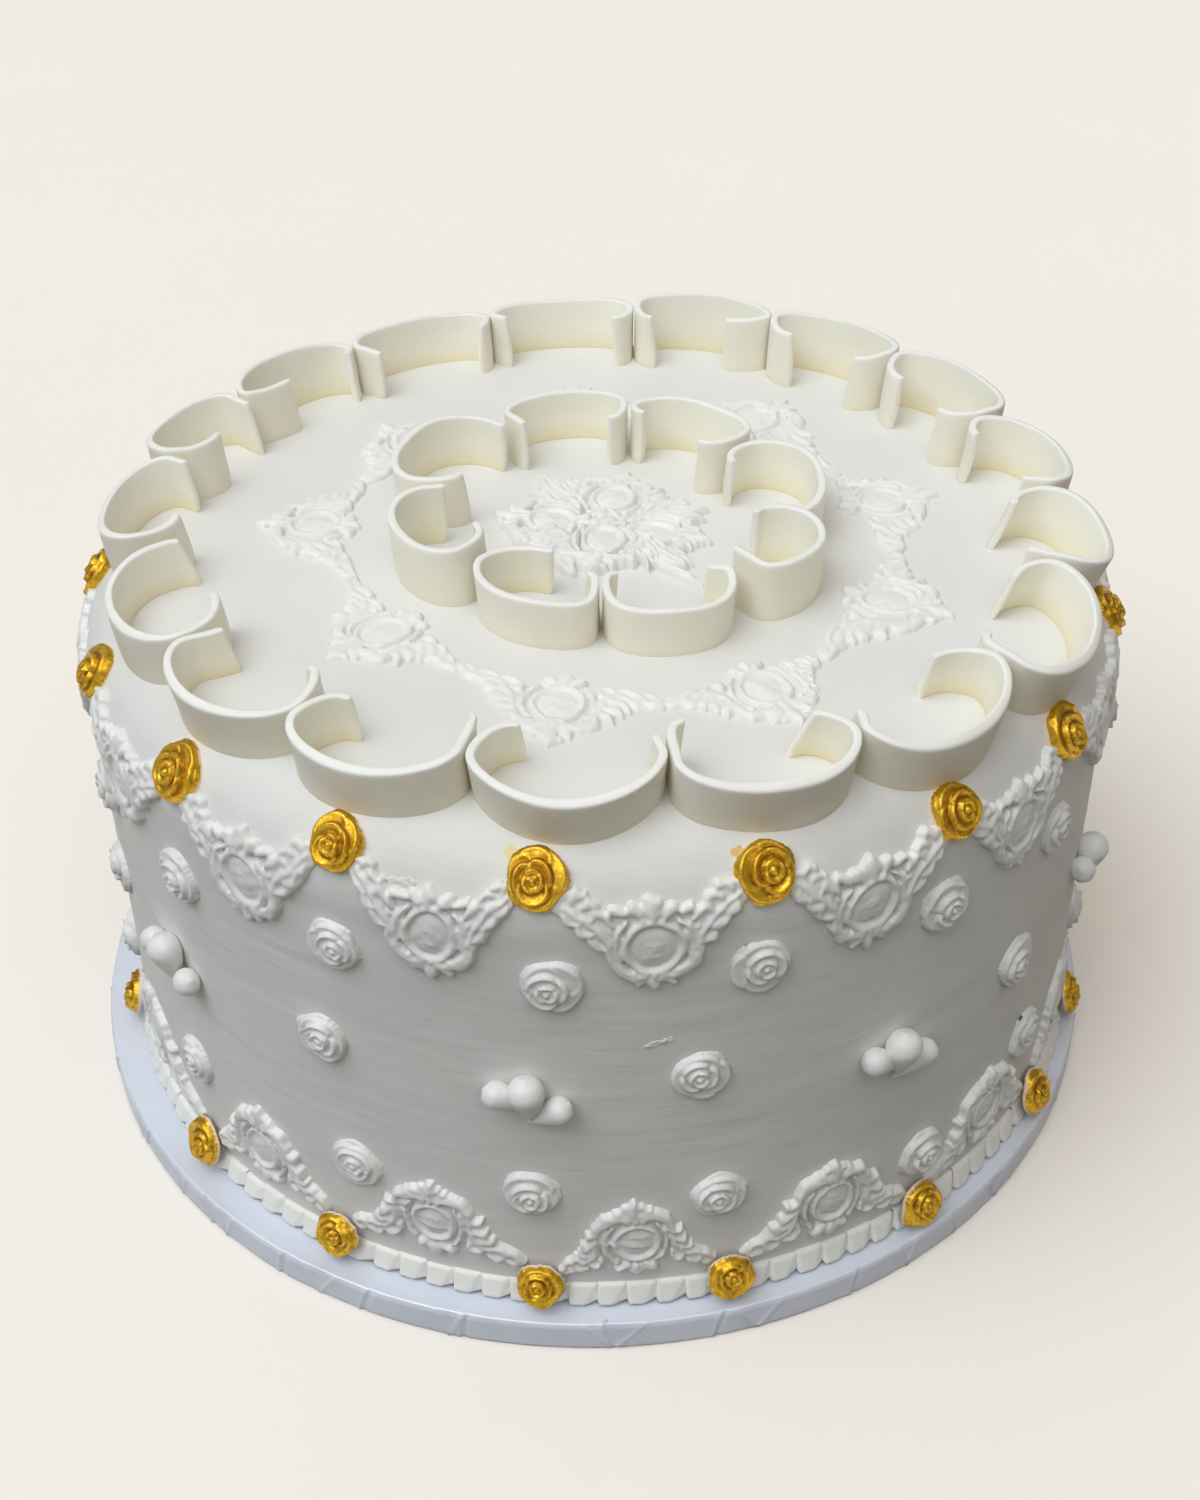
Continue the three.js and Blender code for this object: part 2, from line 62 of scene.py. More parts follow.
RIBBON_THICKNESS = 3.0
RIBBON_LIFT = 0.5
OUTER_RING = (2.0, -3.0)
INNER_RING = (2.0, 0.0)
CURL_REACH = 7.0
CURL_SHARE = 0.28
CURL_ROUND = 5.0
CURL_DROP = 0.68
END_BEND = 0.2
END_DIP = 0.4
# Each ribbon: height at its ends and middle, lean, then the top edge's places as (sideways,
# radius) in its own wedge: an end, widest, outermost, widest, the other end
OUTER_NOTCHES = [-105.3, -82.9, -61.8, -39.9, -17.4, 0.4, 20.5, 42.3, 63.6, 84.8,
    106.8, 128.9, 150.5, 169, 190.3, 213.2, 234]
OUTER_RIBBONS = [
    (17.3, 17.3, 5, (-15.1, 141.5), (-29, 155.6), (-0.4, 175.7), (28.6, 153.6), (25.6, 144.5)),
    (18, 18, 4, (-19.9, 141), (-28.1, 160.6), (5.8, 175.8), (28.2, 161.1), (15.7, 149.5)),
    (18.3, 18.3, 4.5, (-23.4, 152.3), (-29.7, 162.7), (0.3, 179.2), (29.3, 160.8), (12.9, 148.9)),
    (18.3, 18.3, 6.5, (-24.3, 154.3), (-31.7, 168.5), (-2.1, 183.2), (29.7, 158.5), (13.9, 150.1)),
    (19.8, 19.8, 7, (-21.9, 151.4), (-24.4, 167.3), (-7.5, 179.9), (22.9, 157.6), (10.1, 147.1)),
    (21.5, 21.5, 3, (-22.1, 150.3), (-26.6, 160.5), (1.3, 174.9), (25.1, 152.1), (12.7, 146.1)),
    (22, 24.4, 3, (-16.8, 142), (-29, 160), (0.3, 172.5), (29, 160), (11.3, 147)),
    (22, 24.4, 3, (-16.6, 147), (-28.3, 160.1), (0.5, 173.5), (28.3, 159.9), (12.4, 150)),
    (22, 24.4, 3, (-11.3, 154.5), (-28.1, 160), (-0.3, 173.5), (28.2, 160), (17.7, 149)),
    (20.3, 20.3, 4, (-20.9, 149.9), (-29.3, 159.8), (-1.1, 173), (29.3, 160.2), (23.1, 154.1)),
    (19.8, 19.8, 4, (-22.3, 153.1), (-29.5, 160.1), (0.8, 173), (29.4, 159.9), (23.6, 148.9)),
    (20.5, 23.5, 4, (-23.1, 155), (-28.7, 160), (-0.2, 173.5), (28.7, 160), (7.9, 156)),
    (20.5, 23, 3, (-19.7, 152.6), (-25.3, 166.6), (-1.8, 180.2), (25.1, 165.4), (5.2, 153.2)),
    (20.5, 20.5, 3, (-23.7, 154), (-28.7, 162.1), (2.2, 179.9), (29.2, 164.9), (12.8, 151)),
    (18.5, 18.5, 2.5, (-27.8, 146.1), (-28.6, 150.3), (-0.5, 177.9), (31.1, 162.3), (8.9, 144.7)),
    (18, 18, 3.5, (-23.3, 147.9), (-27.9, 162), (-4.7, 176.6), (27.3, 158.4), (9.8, 141.6)),
    (18, 18, 3, (-15.2, 147.8), (-27.8, 162.3), (-5.1, 174.7), (27.1, 158.3), (18.4, 139.8)),
]
INNER_NOTCHES = [-134.4, -90.7, -49.5, -15.2, 34.2, 80.6, 124, 177.3]
INNER_RIBBONS = [
    (18.3, 18.3, 1.5, (0, 44.9), (-20.9, 58.1), (3.3, 77.9), (23.8, 68.8), (15.7, 53.7)),
    (18, 18, 1.5, (-14.8, 54.3), (-22.2, 69.4), (3.9, 85), (21.6, 65.1), (15.1, 61.1)),
    (22.6, 22.6, 1.5, (-16.4, 64.7), (-20.5, 77.3), (-1.6, 87.2), (18.2, 68.9), (8.7, 58.3)),
    (19.5, 19.5, 1.5, (-22.3, 57.6), (-27.2, 66.3), (5.2, 81.4), (25.9, 63.1), (11.6, 51.4)),
    (21, 21, 1.5, (-12.2, 48.4), (-24.1, 63.2), (0.2, 76.9), (23.7, 61.9), (16.6, 57.6)),
    (19.5, 19.5, 1.5, (-14.7, 55.2), (-23.9, 67.6), (-1.2, 81.5), (22, 68.4), (17.5, 56.8)),
    (19.5, 19.5, 1.5, (-26.1, 57.5), (-27.5, 65.3), (-8.6, 85.3), (25.1, 65.7), (12.9, 51.3)),
    (22.5, 22.5, 1.5, (-18.5, 54.2), (-20.7, 62.2), (1.5, 78.1), (25.9, 64.1), (10.9, 51.7)),
]

UPPER_ROSE_COUNT = 17
UPPER_ROSE_LEVEL = 198
UPPER_ROSES = [(-179.2, 199), (-159, 197), (-136.8, 198), (-115.7, 200), (-95.8, 199.5),
               (-74.4, 197), (-53.4, 196), (-34.5, 194.5), (-10.3, 195.5)]
LOWER_ROSE_COUNT = 16
LOWER_ROSE_LEVEL = 24
LOWER_ROSE_OFFSET = 5.0
LOWER_ROSE_TILT = 15
LOWER_ROSES = [(-167.4, 24), (-140, 25), (-119.3, 24.5), (-96.6, 24.5), (-77, 23.5),
               (-54, 23), (-32, 24), (-14.5, 24)]
TRIO_COUNT = 9
TRIOS = [(-141, 113), (-97, 114), (-59, 107), (-21.5, 113)]
HIGH_ROW = [(-176, 160), (-155, 158), (-137.5, 156), (-116.2, 162), (-94.5, 161), (-75, 163),
            (-54.7, 162.5), (-35.6, 158)]
MIDDLE_ROW = [(-158, 113), (-118.9, 118), (-80.4, 120), (-40.7, 110)]
LOW_ROW = [(-165, 62), (-141, 62), (-116.5, 62), (-97.3, 67), (-78.2, 62.5), (-53.6, 45.5),
           (-35.5, 62)]

# Star on the top: each piece's oval, and the valley after it, both as (azimuth, radius)
STAR = [(-138.1, 98.4), (-96.7, 110.6), (-62, 115.6), (-25.7, 112.7), (11.6, 109.6), (54, 110.5), (94, 103),
        (134, 103), (175.1, 104.8)]
VALLEYS = [(-118.8, 98), (-78.8, 111.5), (-49.4, 110.9), (-8.7, 108.6), (23.9, 100.2), (75, 100), (114, 97),
           (155, 100), (-161.5, 92.4)]
# Medallion: each piece's oval, the azimuth of its crown, its lift, and where its two arms end
MEDALLION = [(5.9, 25.0, 75, 0.0, (-22, 42), (34, 20)), (20.3, -2.1, -15, 0.6, (40, 17), (33, -35)),
             (-16.9, 7.6, 165, 1.0, (-10, -28), (-18, 38)), (2.3, -8.9, -100, 1.7, (30, -22), (-29, -4))]


def smooth(low, high, value):
    """0 below low and 1 above high, with an even blend between."""
    t = np.clip((value - low) / (high - low), 0, 1)
    return t * t * (3 - 2 * t)


def ripple(x, y, seed, size):
    """Smooth unevenness between about -1 and 1, made of a few waves of a given size."""
    rng = random.Random(seed)
    total = np.zeros_like(np.asarray(x, float))
    for _ in range(5):
        angle = rng.uniform(0, 2 * math.pi)
        pitch = size * rng.uniform(0.6, 1.6)
        along = (np.cos(angle) * x + np.sin(angle) * y) * 2 * math.pi / pitch
        total = total + np.sin(along + rng.uniform(0, 2 * math.pi))
    return total / 3


# Surfaces that ornaments are laid on

def on_cake(azimuth, level, lift):
    """Points on the iced surface from azimuth in radians, distance up it, and lift."""
    azimuth, level, lift = np.broadcast_arrays(azimuth, level, lift)
    turn = np.clip((level - SHOULDER_START) / SHOULDER, 0, math.pi / 2)
    beyond = np.maximum(level - SHOULDER_START - SHOULDER * math.pi / 2, 0)
    radius = CAKE_RADIUS - SHOULDER + (SHOULDER + lift) * np.cos(turn) - beyond
    height = np.minimum(level, SHOULDER_START) + (SHOULDER + lift) * np.sin(turn)
    return np.stack([radius * np.cos(azimuth), radius * np.sin(azimuth), height], -1)


def ice_height(radius):
    out = np.maximum(radius - (CAKE_RADIUS - SHOULDER), 0)
    return CAKE_TOP - SHOULDER + np.sqrt(np.maximum(SHOULDER ** 2 - out ** 2, 0))


def side_place(azimuth, level, turn=0.0, size=1.0):
    """Lays x, y, lift on the cake's side round a point."""
    centre = math.radians(azimuth)
    cos, sin = math.cos(turn) * size, math.sin(turn) * size

    def place(x, y, lift):
        across, up = x * cos - y * sin, x * sin + y * cos
        return on_cake(centre + across / CAKE_RADIUS, level + up, lift)

    return place


def top_place(cx, cy, outward, lift0=0.0, size=1.0):
    """Lays x, y, lift on the cake's flat top, with y running along outward (radians)."""
    cos, sin = math.cos(outward), math.sin(outward)

    def place(x, y, lift):
        px = cx + (x * sin + y * cos) * size
        py = cy + (-x * cos + y * sin) * size
        return np.stack([px, py, CAKE_TOP + lift0 + lift], -1)

    return place


ARM_START = 11.0
FOOT_TIP = (33.4, -15.0)
SWAG_TIP = (32.0, -17.5)


def bent(place, tip, left, right):
    """Bends and stretches a piece's arms, so that their tips come to the given places."""

    def moved(x, y, lift):
        share = np.maximum(np.abs(x) - ARM_START, 0) / (tip[0] - ARM_START)
        to_x, to_y = np.where(x < 0, left[0], right[0]), np.where(x < 0, left[1], right[1])
        return place(x + share * (to_x - np.sign(x) * tip[0]), y + share * (to_y - tip[1]), lift)

    return moved


# Meshes

class Batch:
    """Collects quads and triangles, with one painted value per vertex, into one mesh."""

    def __init__(self):
        self.points, self.faces, self.values, self.count = [], [], [], 0

    def add(self, points, faces, values=None):
        points = np.asarray(points, float).reshape(-1, 3)
        if values is None:
            values = np.zeros(len(points))
        self.points.append(points)
        self.values.append(np.asarray(values, float).ravel())
        self.faces.extend(tuple(int(i) + self.count for i in face) for face in faces)
        self.count += len(points)

    def add_grid(self, points, values=None, wrap_rows=False, wrap_columns=False):
        rows, columns = points.shape[:2]
        index = np.arange(rows * columns).reshape(rows, columns)
        if wrap_rows:
            index = np.vstack([index, index[:1]])
        if wrap_columns:
            index = np.hstack([index, index[:, :1]])
        quads = np.stack([index[:-1, :-1], index[:-1, 1:], index[1:, 1:], index[1:, :-1]], -1)
        self.add(points, quads.reshape(-1, 4), values)

    def build(self, name, material, slot, offset=(CAKE_X, CAKE_Y, 0.0), auto_smooth=True):
        mesh = bpy.data.meshes.new(name)
        points = (np.concatenate(self.points) + np.array(offset)) * MM
        mesh.from_pydata(points.tolist(), [], self.faces)
        paint = mesh.attributes.new("paint", "FLOAT", "POINT")
        paint.data.foreach_set("value", np.concatenate(self.values).astype(np.float32))
        mesh.validate()
        if auto_smooth:
            mesh.polygons.foreach_set("use_smooth", [True] * len(mesh.polygons))
        mesh.materials.append(material)
        mesh.update()
        piece = bpy.data.objects.new(name, mesh)
        bpy.context.scene.collection.objects.link(piece)
        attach(piece, "root")
        return piece


def spline(points, steps=8):
    """A smooth line through points of any number of values each."""
    p = np.array(points, float)
    p = np.vstack([2 * p[0] - p[1], p, 2 * p[-1] - p[-2]])
    line = []
    for i in range(1, len(p) - 2):
        for t in np.arange(steps) / steps:
            line.append(0.5 * (2 * p[i] + (p[i + 1] - p[i - 1]) * t
                               + (2 * p[i - 1] - 5 * p[i] + 4 * p[i + 1] - p[i + 2]) * t * t
                               + (3 * p[i] - p[i - 1] - 3 * p[i + 1] + p[i + 2]) * t ** 3))
    line.append(p[-2])
    return np.array(line)


class Relief:
    """A moulded ornament as heights over a square grid: x sideways, y up."""

    SUNK = -1.2

    def __init__(self, reach_x, low, high, step):
        xs = np.arange(-reach_x, reach_x + step / 2, step)
        ys = np.arange(low, high + step / 2, step)
        self.x, self.y = np.meshgrid(xs, ys)
        self.h = np.full(self.x.shape, self.SUNK)

    def raise_to(self, height):
        self.h = np.maximum(self.h, height)

    def stroke(self, points, height, steps=6, floor=0.0):
        """A rounded bead of icing along a line of (x, y, half width)."""
        line = spline(points, steps) if len(points) > 2 else np.array(points, float)
        best = np.full(self.x.shape, -1.0)
        for (ax, ay, aw), (bx, by, bw) in zip(line[:-1], line[1:]):
            dx, dy = bx - ax, by - ay
            t = ((self.x - ax) * dx + (self.y - ay) * dy) / max(dx * dx + dy * dy, 1e-9)
            t = np.clip(t, 0, 1)
            far = (self.x - ax - t * dx) ** 2 + (self.y - ay - t * dy) ** 2
            best = np.maximum(best, 1 - far / (aw + (bw - aw) * t) ** 2)
        shape = np.where(best > 0, floor + (height - floor) * np.sqrt(np.maximum(best, 0)), self.SUNK)
        self.raise_to(shape)

    def pair(self, points, height, **more):
        """The same stroke on the right and, mirrored, on the left."""
        self.stroke(points, height, **more)
        self.stroke([(-x, y, w) for x, y, w in points], height, **more)

    def dot(self, x, y, radius, height):
        far = ((self.x - x) ** 2 + (self.y - y) ** 2) / radius ** 2
        self.raise_to(np.where(far < 1, height * np.sqrt(np.maximum(1 - far, 0)), self.SUNK))

    def soften(self, amount=0.5):
        """Rounds the detail slightly, as a mould does, without moving the outline."""
        h = self.h
        near = np.zeros_like(h)
        for dy, dx in ((0, 1), (0, -1), (1, 0), (-1, 0)):
            near = near + np.roll(h, (dy, dx), (0, 1))
        inside = h > 0
        self.h = np.where(inside, h * (1 - amount) + amount * np.maximum(near / 4, 0.05), h)

    def lay(self, batch, place, seed=0, warp=0.0, relief=1.0, lift=0.0, value=None):
        """Adds the part of the grid that stands above the surface to a batch."""
        x = self.x + warp * ripple(self.x, self.y, seed, 26)
        y = self.y + warp * ripple(self.x, self.y, seed + 1, 26)
        h = np.where(self.h > 0, self.h * relief + lift, self.h)
        if warp:
            h = np.where(self.h > 0.3, h + 0.16 * ripple(self.x, self.y, seed + 2, 5), h)
        points = place(x, y, h)
        top = np.maximum.reduce([self.h[:-1, :-1], self.h[:-1, 1:], self.h[1:, 1:], self.h[1:, :-1]])
        index = np.arange(h.size).reshape(h.shape)
        quads = np.stack([index[:-1, :-1], index[:-1, 1:], index[1:, 1:], index[1:, :-1]], -1)
        quads = quads[top > 0]
        used = np.unique(quads)
        renumber = np.zeros(h.size, int)
        renumber[used] = np.arange(len(used))
        values = np.zeros(h.size) if value is None else value.ravel()
        batch.add(points.reshape(-1, 3)[used], renumber[quads], values[used])


# The moulded scroll piece, drawn with the oval's middle at the origin and its leaf upward

def ellipse_line(rx, ry, start, stop, width, count=22):
    angles = np.radians(np.linspace(start, stop, count))
    return [(rx * math.sin(a), ry * math.cos(a), width) for a in angles]


# The body of an arm as (x, y, half width), and the leaves that lie over it
FOOT_ARM = [(12.0, 5.5, 2.6), (15.2, 0.5, 4.0), (18.0, -6.0, 5.2), (23.5, -10.2, 4.4), (29.0, -12.6, 3.8),
            (32.6, -14.6, 2.6)]
FOOT_LEAVES = [
    ([(12.6, 7.5, 1.1), (14.2, 2.0, 1.5), (15.0, -3.0, 1.5), (17.2, -7.4, 1.4), (21.5, -9.6, 1.2)], 3.2),
    ([(14.2, 4.8, 1.2), (17.0, 3.6, 2.0), (18.2, 5.0, 1.2)], 3.4), ([(16.0, -0.4, 1.2), (19.4, -2.2, 2.0), (20.4, 0.0, 1.1)], 3.5),
    ([(17.6, -5.4, 1.2), (21.4, -5.6, 1.9), (23.2, -4.0, 1.1)], 3.3), ([(11.8, -8.4, 0.9), (14.4, -11.0, 1.5), (17.6, -11.0, 1.4),
     (18.6, -9.2, 0.9)], 3.2), ([(21.0, -9.6, 1.2), (24.4, -8.4, 1.7), (26.6, -9.8, 1.1)], 3.2),
    ([(20.5, -13.0, 1.2), (24.4, -13.6, 1.7), (27.0, -11.8, 1.1)], 3.1), ([(26.6, -10.6, 1.2), (29.8, -10.6, 1.6), (31.8, -13.0, 1.2)], 3.0),
    ([(27.6, -14.8, 1.1), (30.4, -15.4, 1.3)], 2.8)]
FOOT_SHOULDER = [(2.8, 10.8, 1.2), (6.6, 12.6, 2.0), (10.4, 11.4, 2.4), (13.4, 8.4, 1.9), (14.4, 5.6, 1.0)]
SWAG_ARM = [(11.5, 1.5, 3.6), (15.0, -4.5, 6.0), (19.0, -9.0, 6.4), (24.0, -13.0, 5.6), (28.6, -16.2, 4.6),
            (32.0, -17.5, 3.2)]
SWAG_LEAVES = [
    ([(12.8, 2.0, 1.2), (14.8, -4.0, 1.5), (18.4, -8.6, 1.5), (23.6, -12.6, 1.4), (29.4, -16.4, 1.2)], 3.3),
    ([(15.0, -1.0, 1.2), (19.0, -2.6, 2.1), (20.6, -5.0, 1.2)], 3.4), ([(19.4, -6.6, 1.2), (23.2, -7.4, 2.0), (25.0, -9.6, 1.1)], 3.4),
    ([(24.2, -10.8, 1.2), (27.8, -11.6, 1.7), (29.6, -13.6, 1.1)], 3.2), ([(11.4, -9.4, 1.1), (14.6, -12.2, 2.0), (17.8, -13.4, 1.6),
     (19.6, -12.0, 1.0)], 3.3), ([(17.0, -15.4, 1.3), (20.4, -16.8, 1.9), (23.2, -16.0, 1.2)], 3.2),
    ([(21.6, -19.4, 1.6), (25.0, -20.0, 2.1), (27.2, -18.6, 1.4)], 3.2), ([(27.6, -20.2, 1.3), (31.0, -19.8, 1.6)], 3.0),
    ([(8.0, -12.4, 1.4), (12.0, -13.8, 1.7)], 3.0)]
SWAG_SHOULDER = [(2.6, 10.8, 1.4), (6.8, 10.6, 2.3), (10.6, 8.4, 2.6), (13.6, 4.6, 2.0), (14.6, 0.8, 1.2)]


def scroll_piece(arm, leaves, shoulder, oval, crown, pendant, seed, step=0.58):
    """The mould's piece: an oval in a ring, a lobed crown above it, a pendant below it, and on
    each side a broad arm of leaves that runs down and out to a tip."""
    r = Relief(36, -23, 12.5 + 8.5 * crown, step)
    flat_x, flat_y = r.x, r.y
    # Soft fondant is never quite regular outside the oval
    loose = 0.55 * smooth(8.5, 13, np.hypot(r.x, r.y))
    r.x = flat_x + loose * ripple(flat_x, flat_y, seed, 7)
    r.y = flat_y + loose * ripple(flat_x, flat_y, seed + 1, 7)
    r.pair(arm, 2.1, floor=0.9)
    r.h = np.where(r.h > 0, r.h + 0.28 * ripple(flat_x, flat_y, seed + 2, 4.5), r.h)
    for line, height in leaves:
        r.pair(line, height, floor=1.0)
    # Shoulder: a broad leaf that curls over, and a thin scroll that follows the oval's side
    r.pair(shoulder, 3.3, floor=0.8)
    r.pair([(x - 0.6, y - 1.6, 0.7) for x, y, _ in shoulder[1:-1]], 3.6, floor=1.0)
    r.pair(ellipse_line(2.2 + 9.4 * oval, 12.2, 48, 140, 1.1, 14), 2.9, floor=0.8)
    r.pair([(12.4, -6.6, 1.2), (13.4, -7.6, 1.0)], 3.0)
    # Oval: a low dome with faint embossing, in a groove inside the ring
    floor = (r.x / 8.2 / oval) ** 2 + (r.y / 9.0 / oval) ** 2
    dome = np.clip(1 - (r.x / 6.4 / oval) ** 2 - (r.y / 7.2 / oval) ** 2, 0, 1)
    r.h = np.where(floor < 1, 1.0 + 1.3 * np.sqrt(dome), r.h)
    for y, lean in ((2.4, 0.5), (0.2, -0.4), (-1.8, 0.3)):
        r.stroke([(-2.0, y, 0.6), (-0.6, y + lean, 0.8), (1.0, y - lean, 0.7), (2.2, y + lean, 0.5)], 2.65, floor=2.0)
    r.stroke(ellipse_line(8.5 * oval, 9.3 * oval, 0, 360, 1.3), 3.0, floor=0.8)
    r.dot(0, 10.4, 1.5, 3.6)
    r.pair([(2.4, 10.0, 1.1), (3.6, 9.6, 0.9)], 3.3)
    # Crown: three lobes with a groove beside the middle one
    k = crown
    r.stroke([(0, 11.6, 2.0), (0.2, 11.6 + 3.2 * k, 2.9), (0.1, 11.6 + 5.6 * k, 2.2), (0.5, 11.6 + 7.6 * k, 1.0)], 3.1)
    r.pair([(2.4, 11.8, 1.6), (4.4, 11.6 + 1.8 * k, 2.3), (5.8, 11.6 + 3.4 * k, 1.5)], 2.9)
    if k > 0.7:
        r.stroke([(0.1, 13.5, 0.5), (0.3, 11.6 + 6.2 * k, 0.4)], 3.5)
        r.dot(3.2, 11.6 + 4.4 * k, 1.5, 2.6)
        r.dot(-3.0, 11.6 + 4.7 * k, 1.4, 2.5)
    # Pendant: a knot of beads over three round lobes
    k = pendant
    r.dot(0, -10.6, 1.5, 3.5)
    r.pair([(2.7, -10.2, 1.2), (3.4, -10.0, 1.0)], 3.2)
    r.stroke([(0, -11.6, 1.8), (0, -11.6 - 2.6 * k, 3.4), (0.2, -11.6 - 4.6 * k, 2.4)], 3.4)
    r.pair([(3.4, -11.6, 1.4), (4.8, -11.6 - 1.4 * k, 2.4), (5.6, -11.6 - 2.6 * k, 1.9)], 3.3)
    r.x, r.y = flat_x, flat_y
    r.soften(0.5)
    r.soften(0.5)
    return r


# Moulded roses: petals are overlapping plates, laid from the outside in

ROSE_STEP = 0.44


def rose_piece(seed, radius=9.3, height=4.8):
    rng = random.Random(seed)
    r = Relief(10.8, -10.8, 10.8, ROSE_STEP)
    x, y = r.x / radius * 9.3, r.y / radius * 9.3
    angle = np.arctan2(y, x)
    far = np.hypot(x, y)
    phase = rng.uniform(0, 6.28)
    rim = 9.0 + 0.3 * np.cos(3 * angle + phase) + 0.25 * np.cos(5 * angle + 2.1 * phase)
    nub = rng.uniform(0, 6.28)
    rim = rim + 0.7 * np.exp(-((np.angle(np.exp(1j * (angle - nub)))) / 0.22) ** 2)
    r.edge = rim - far
    h = np.where(far < rim, 0.9 + 0.0 * far, r.SUNK)
    off = rng.uniform(0.8, 1.7)
    cx, cy = off * math.cos(phase), off * math.sin(phase)

    def plate(px, py, along, across, turn, level, lip, drop, h):
        """A petal that rises outward to a rolled lip, and covers what lies under it."""
        u = (x - px) * math.cos(turn) + (y - py) * math.sin(turn)
        v = -(x - px) * math.sin(turn) + (y - py) * math.cos(turn)
        edge = (1 - np.sqrt((u / along) ** 2 + (v / across) ** 2)) * min(along, across)
        out = np.clip(u / along, -1, 1)
        z = level - drop * (1 - out) * 0.5 + lip * np.exp(-((edge - 0.55) / 0.7) ** 2)
        share = smooth(-0.15, 0.3, edge)
        return h * (1 - share) + z * share

    start = phase + rng.uniform(0, 6.28)
    for k in range(4):
        a = start + k * 1.571 + rng.uniform(-0.25, 0.25)
        size = rng.uniform(0.92, 1.08)
        h = plate(4.0 * math.cos(a), 4.0 * math.sin(a), 4.7 * size, 6.2 * size, a, 2.2, 0.6, 1.2, h)
    start = start + rng.uniform(0.5, 1.1)
    for k in range(3):
        a = start + k * 2.094 + rng.uniform(-0.3, 0.3)
        size = rng.uniform(0.9, 1.08)
        h = plate(cx + 2.5 * math.cos(a), cy + 2.5 * math.sin(a), 3.5 * size, 4.5 * size, a, 3.3, 0.75, 1.5, h)
    start = start + rng.uniform(0.8, 1.4)
    for k in range(3):
        a = start + k * 2.094 + rng.uniform(-0.2, 0.2)
        h = plate(cx + 1.3 * math.cos(a), cy + 1.3 * math.sin(a), 1.9, 2.6, a, 4.2, 0.6, 1.4, h)
    bud = np.hypot(x - cx - 0.1, (y - cy) / 0.85)
    h = np.where(bud < 1.15, 3.5 + 1.1 * np.sqrt(np.clip(1 - (bud / 1.15) ** 2, 0, 1)), h)
    # The rim is thin, and the petals fall towards it
    h = h * (0.42 + 0.58 * np.sqrt(np.clip(r.edge / 2.6, 0, 1)))
    r.h = np.where(far < rim, np.maximum(h * height / 4.8, 0.15), r.SUNK)
    return r


def rose_shade_and_bare(r):
    """1 deep in the creases, where the gold is darkened as painted shade, and -1 at the foot of the rim, which the
    gold paint leaves bare.
    """
    h = np.maximum(r.h, 0)
    wide = np.zeros_like(h)
    reach = 3
    for dy in range(-reach, reach + 1):
        for dx in range(-reach, reach + 1):
            wide = wide + np.roll(h, (dy, dx), (0, 1))
    wide = wide / (2 * reach + 1) ** 2
    crease_shade = np.clip((wide - h) / 0.7, 0, 1)
    return np.where(r.edge < 0, -1.0, np.where(r.edge < 0.5, 0.1, crease_shade))


# Piped drops

def drop_mesh(batch, place, radius, tail, turn, x, y, rings=18, sides=20):
    """A teardrop lying on the surface, head up and tail down before it is turned."""
    points = []
    for i in range(rings + 1):
        s = i / rings
        along = radius - s * (radius + tail)
        if along >= 0:
            wide = radius * math.sqrt(max(1 - (along / radius) ** 2, 0))
        else:
            t = -along / tail
            wide = radius * (1 - t ** 1.35) ** 0.95 if t < 1 else 0.0
        middle = radius * 0.72 * (1 - 0.55 * max(-along / tail, 0))
        ring = []
        for j in range(sides):
            a = 2 * math.pi * j / sides
            u, w = wide * math.cos(a), wide * math.sin(a) * 0.95
            px = x + u * math.cos(turn) - along * math.sin(turn)
            py = y + u * math.sin(turn) + along * math.cos(turn)
            ring.append((px, py, max(middle + w, -0.4)))
        points.append(ring)
    flat = np.array(points)
    batch.add_grid(place(flat[..., 0], flat[..., 1], flat[..., 2]), wrap_columns=True)


# Ribbons

END_STEPS = [0, 0.08, 0.25, 0.5, 0.85, 1.3]
RIBBON_SECTIONS = 64


def centripetal(points):
    """Points on the centripetal spline that the CAD ribbons follow, closer together at its ends."""
    p = np.array(points, float)
    p = np.vstack([2 * p[0] - p[1], p, 2 * p[-1] - p[-2]])
    line = []
    for i in range(1, len(p) - 2):
        d = [max(np.linalg.norm(p[i + k] - p[i + k - 1]), 1e-4) ** 0.5 for k in range(3)]
        t1 = (p[i] - p[i - 1]) / d[0] - (p[i + 1] - p[i - 1]) / (d[0] + d[1]) + (p[i + 1] - p[i]) / d[1]
        t2 = (p[i + 1] - p[i]) / d[1] - (p[i + 2] - p[i]) / (d[1] + d[2]) + (p[i + 2] - p[i + 1]) / d[2]
        t1, t2 = t1 * d[1], t2 * d[1]
        for t in np.linspace(0, 1, 40, endpoint=False):
            line.append(p[i] + t1 * t + (-3 * p[i] + 3 * p[i + 1] - 2 * t1 - t2) * t * t
                        + (2 * p[i] - 2 * p[i + 1] + t1 + t2) * t ** 3)
    line.append(p[-2])
    line = np.array(line)
    length = np.concatenate([[0], np.cumsum(np.linalg.norm(np.diff(line, axis=0), axis=1))])
    ends = np.array(END_STEPS)
    even = np.concatenate([ends, np.linspace(0, length[-1], RIBBON_SECTIONS)[2:-2], (length[-1] - ends)[::-1]])
    return np.stack([np.interp(even, length, line[:, k]) for k in range(2)], -1), even


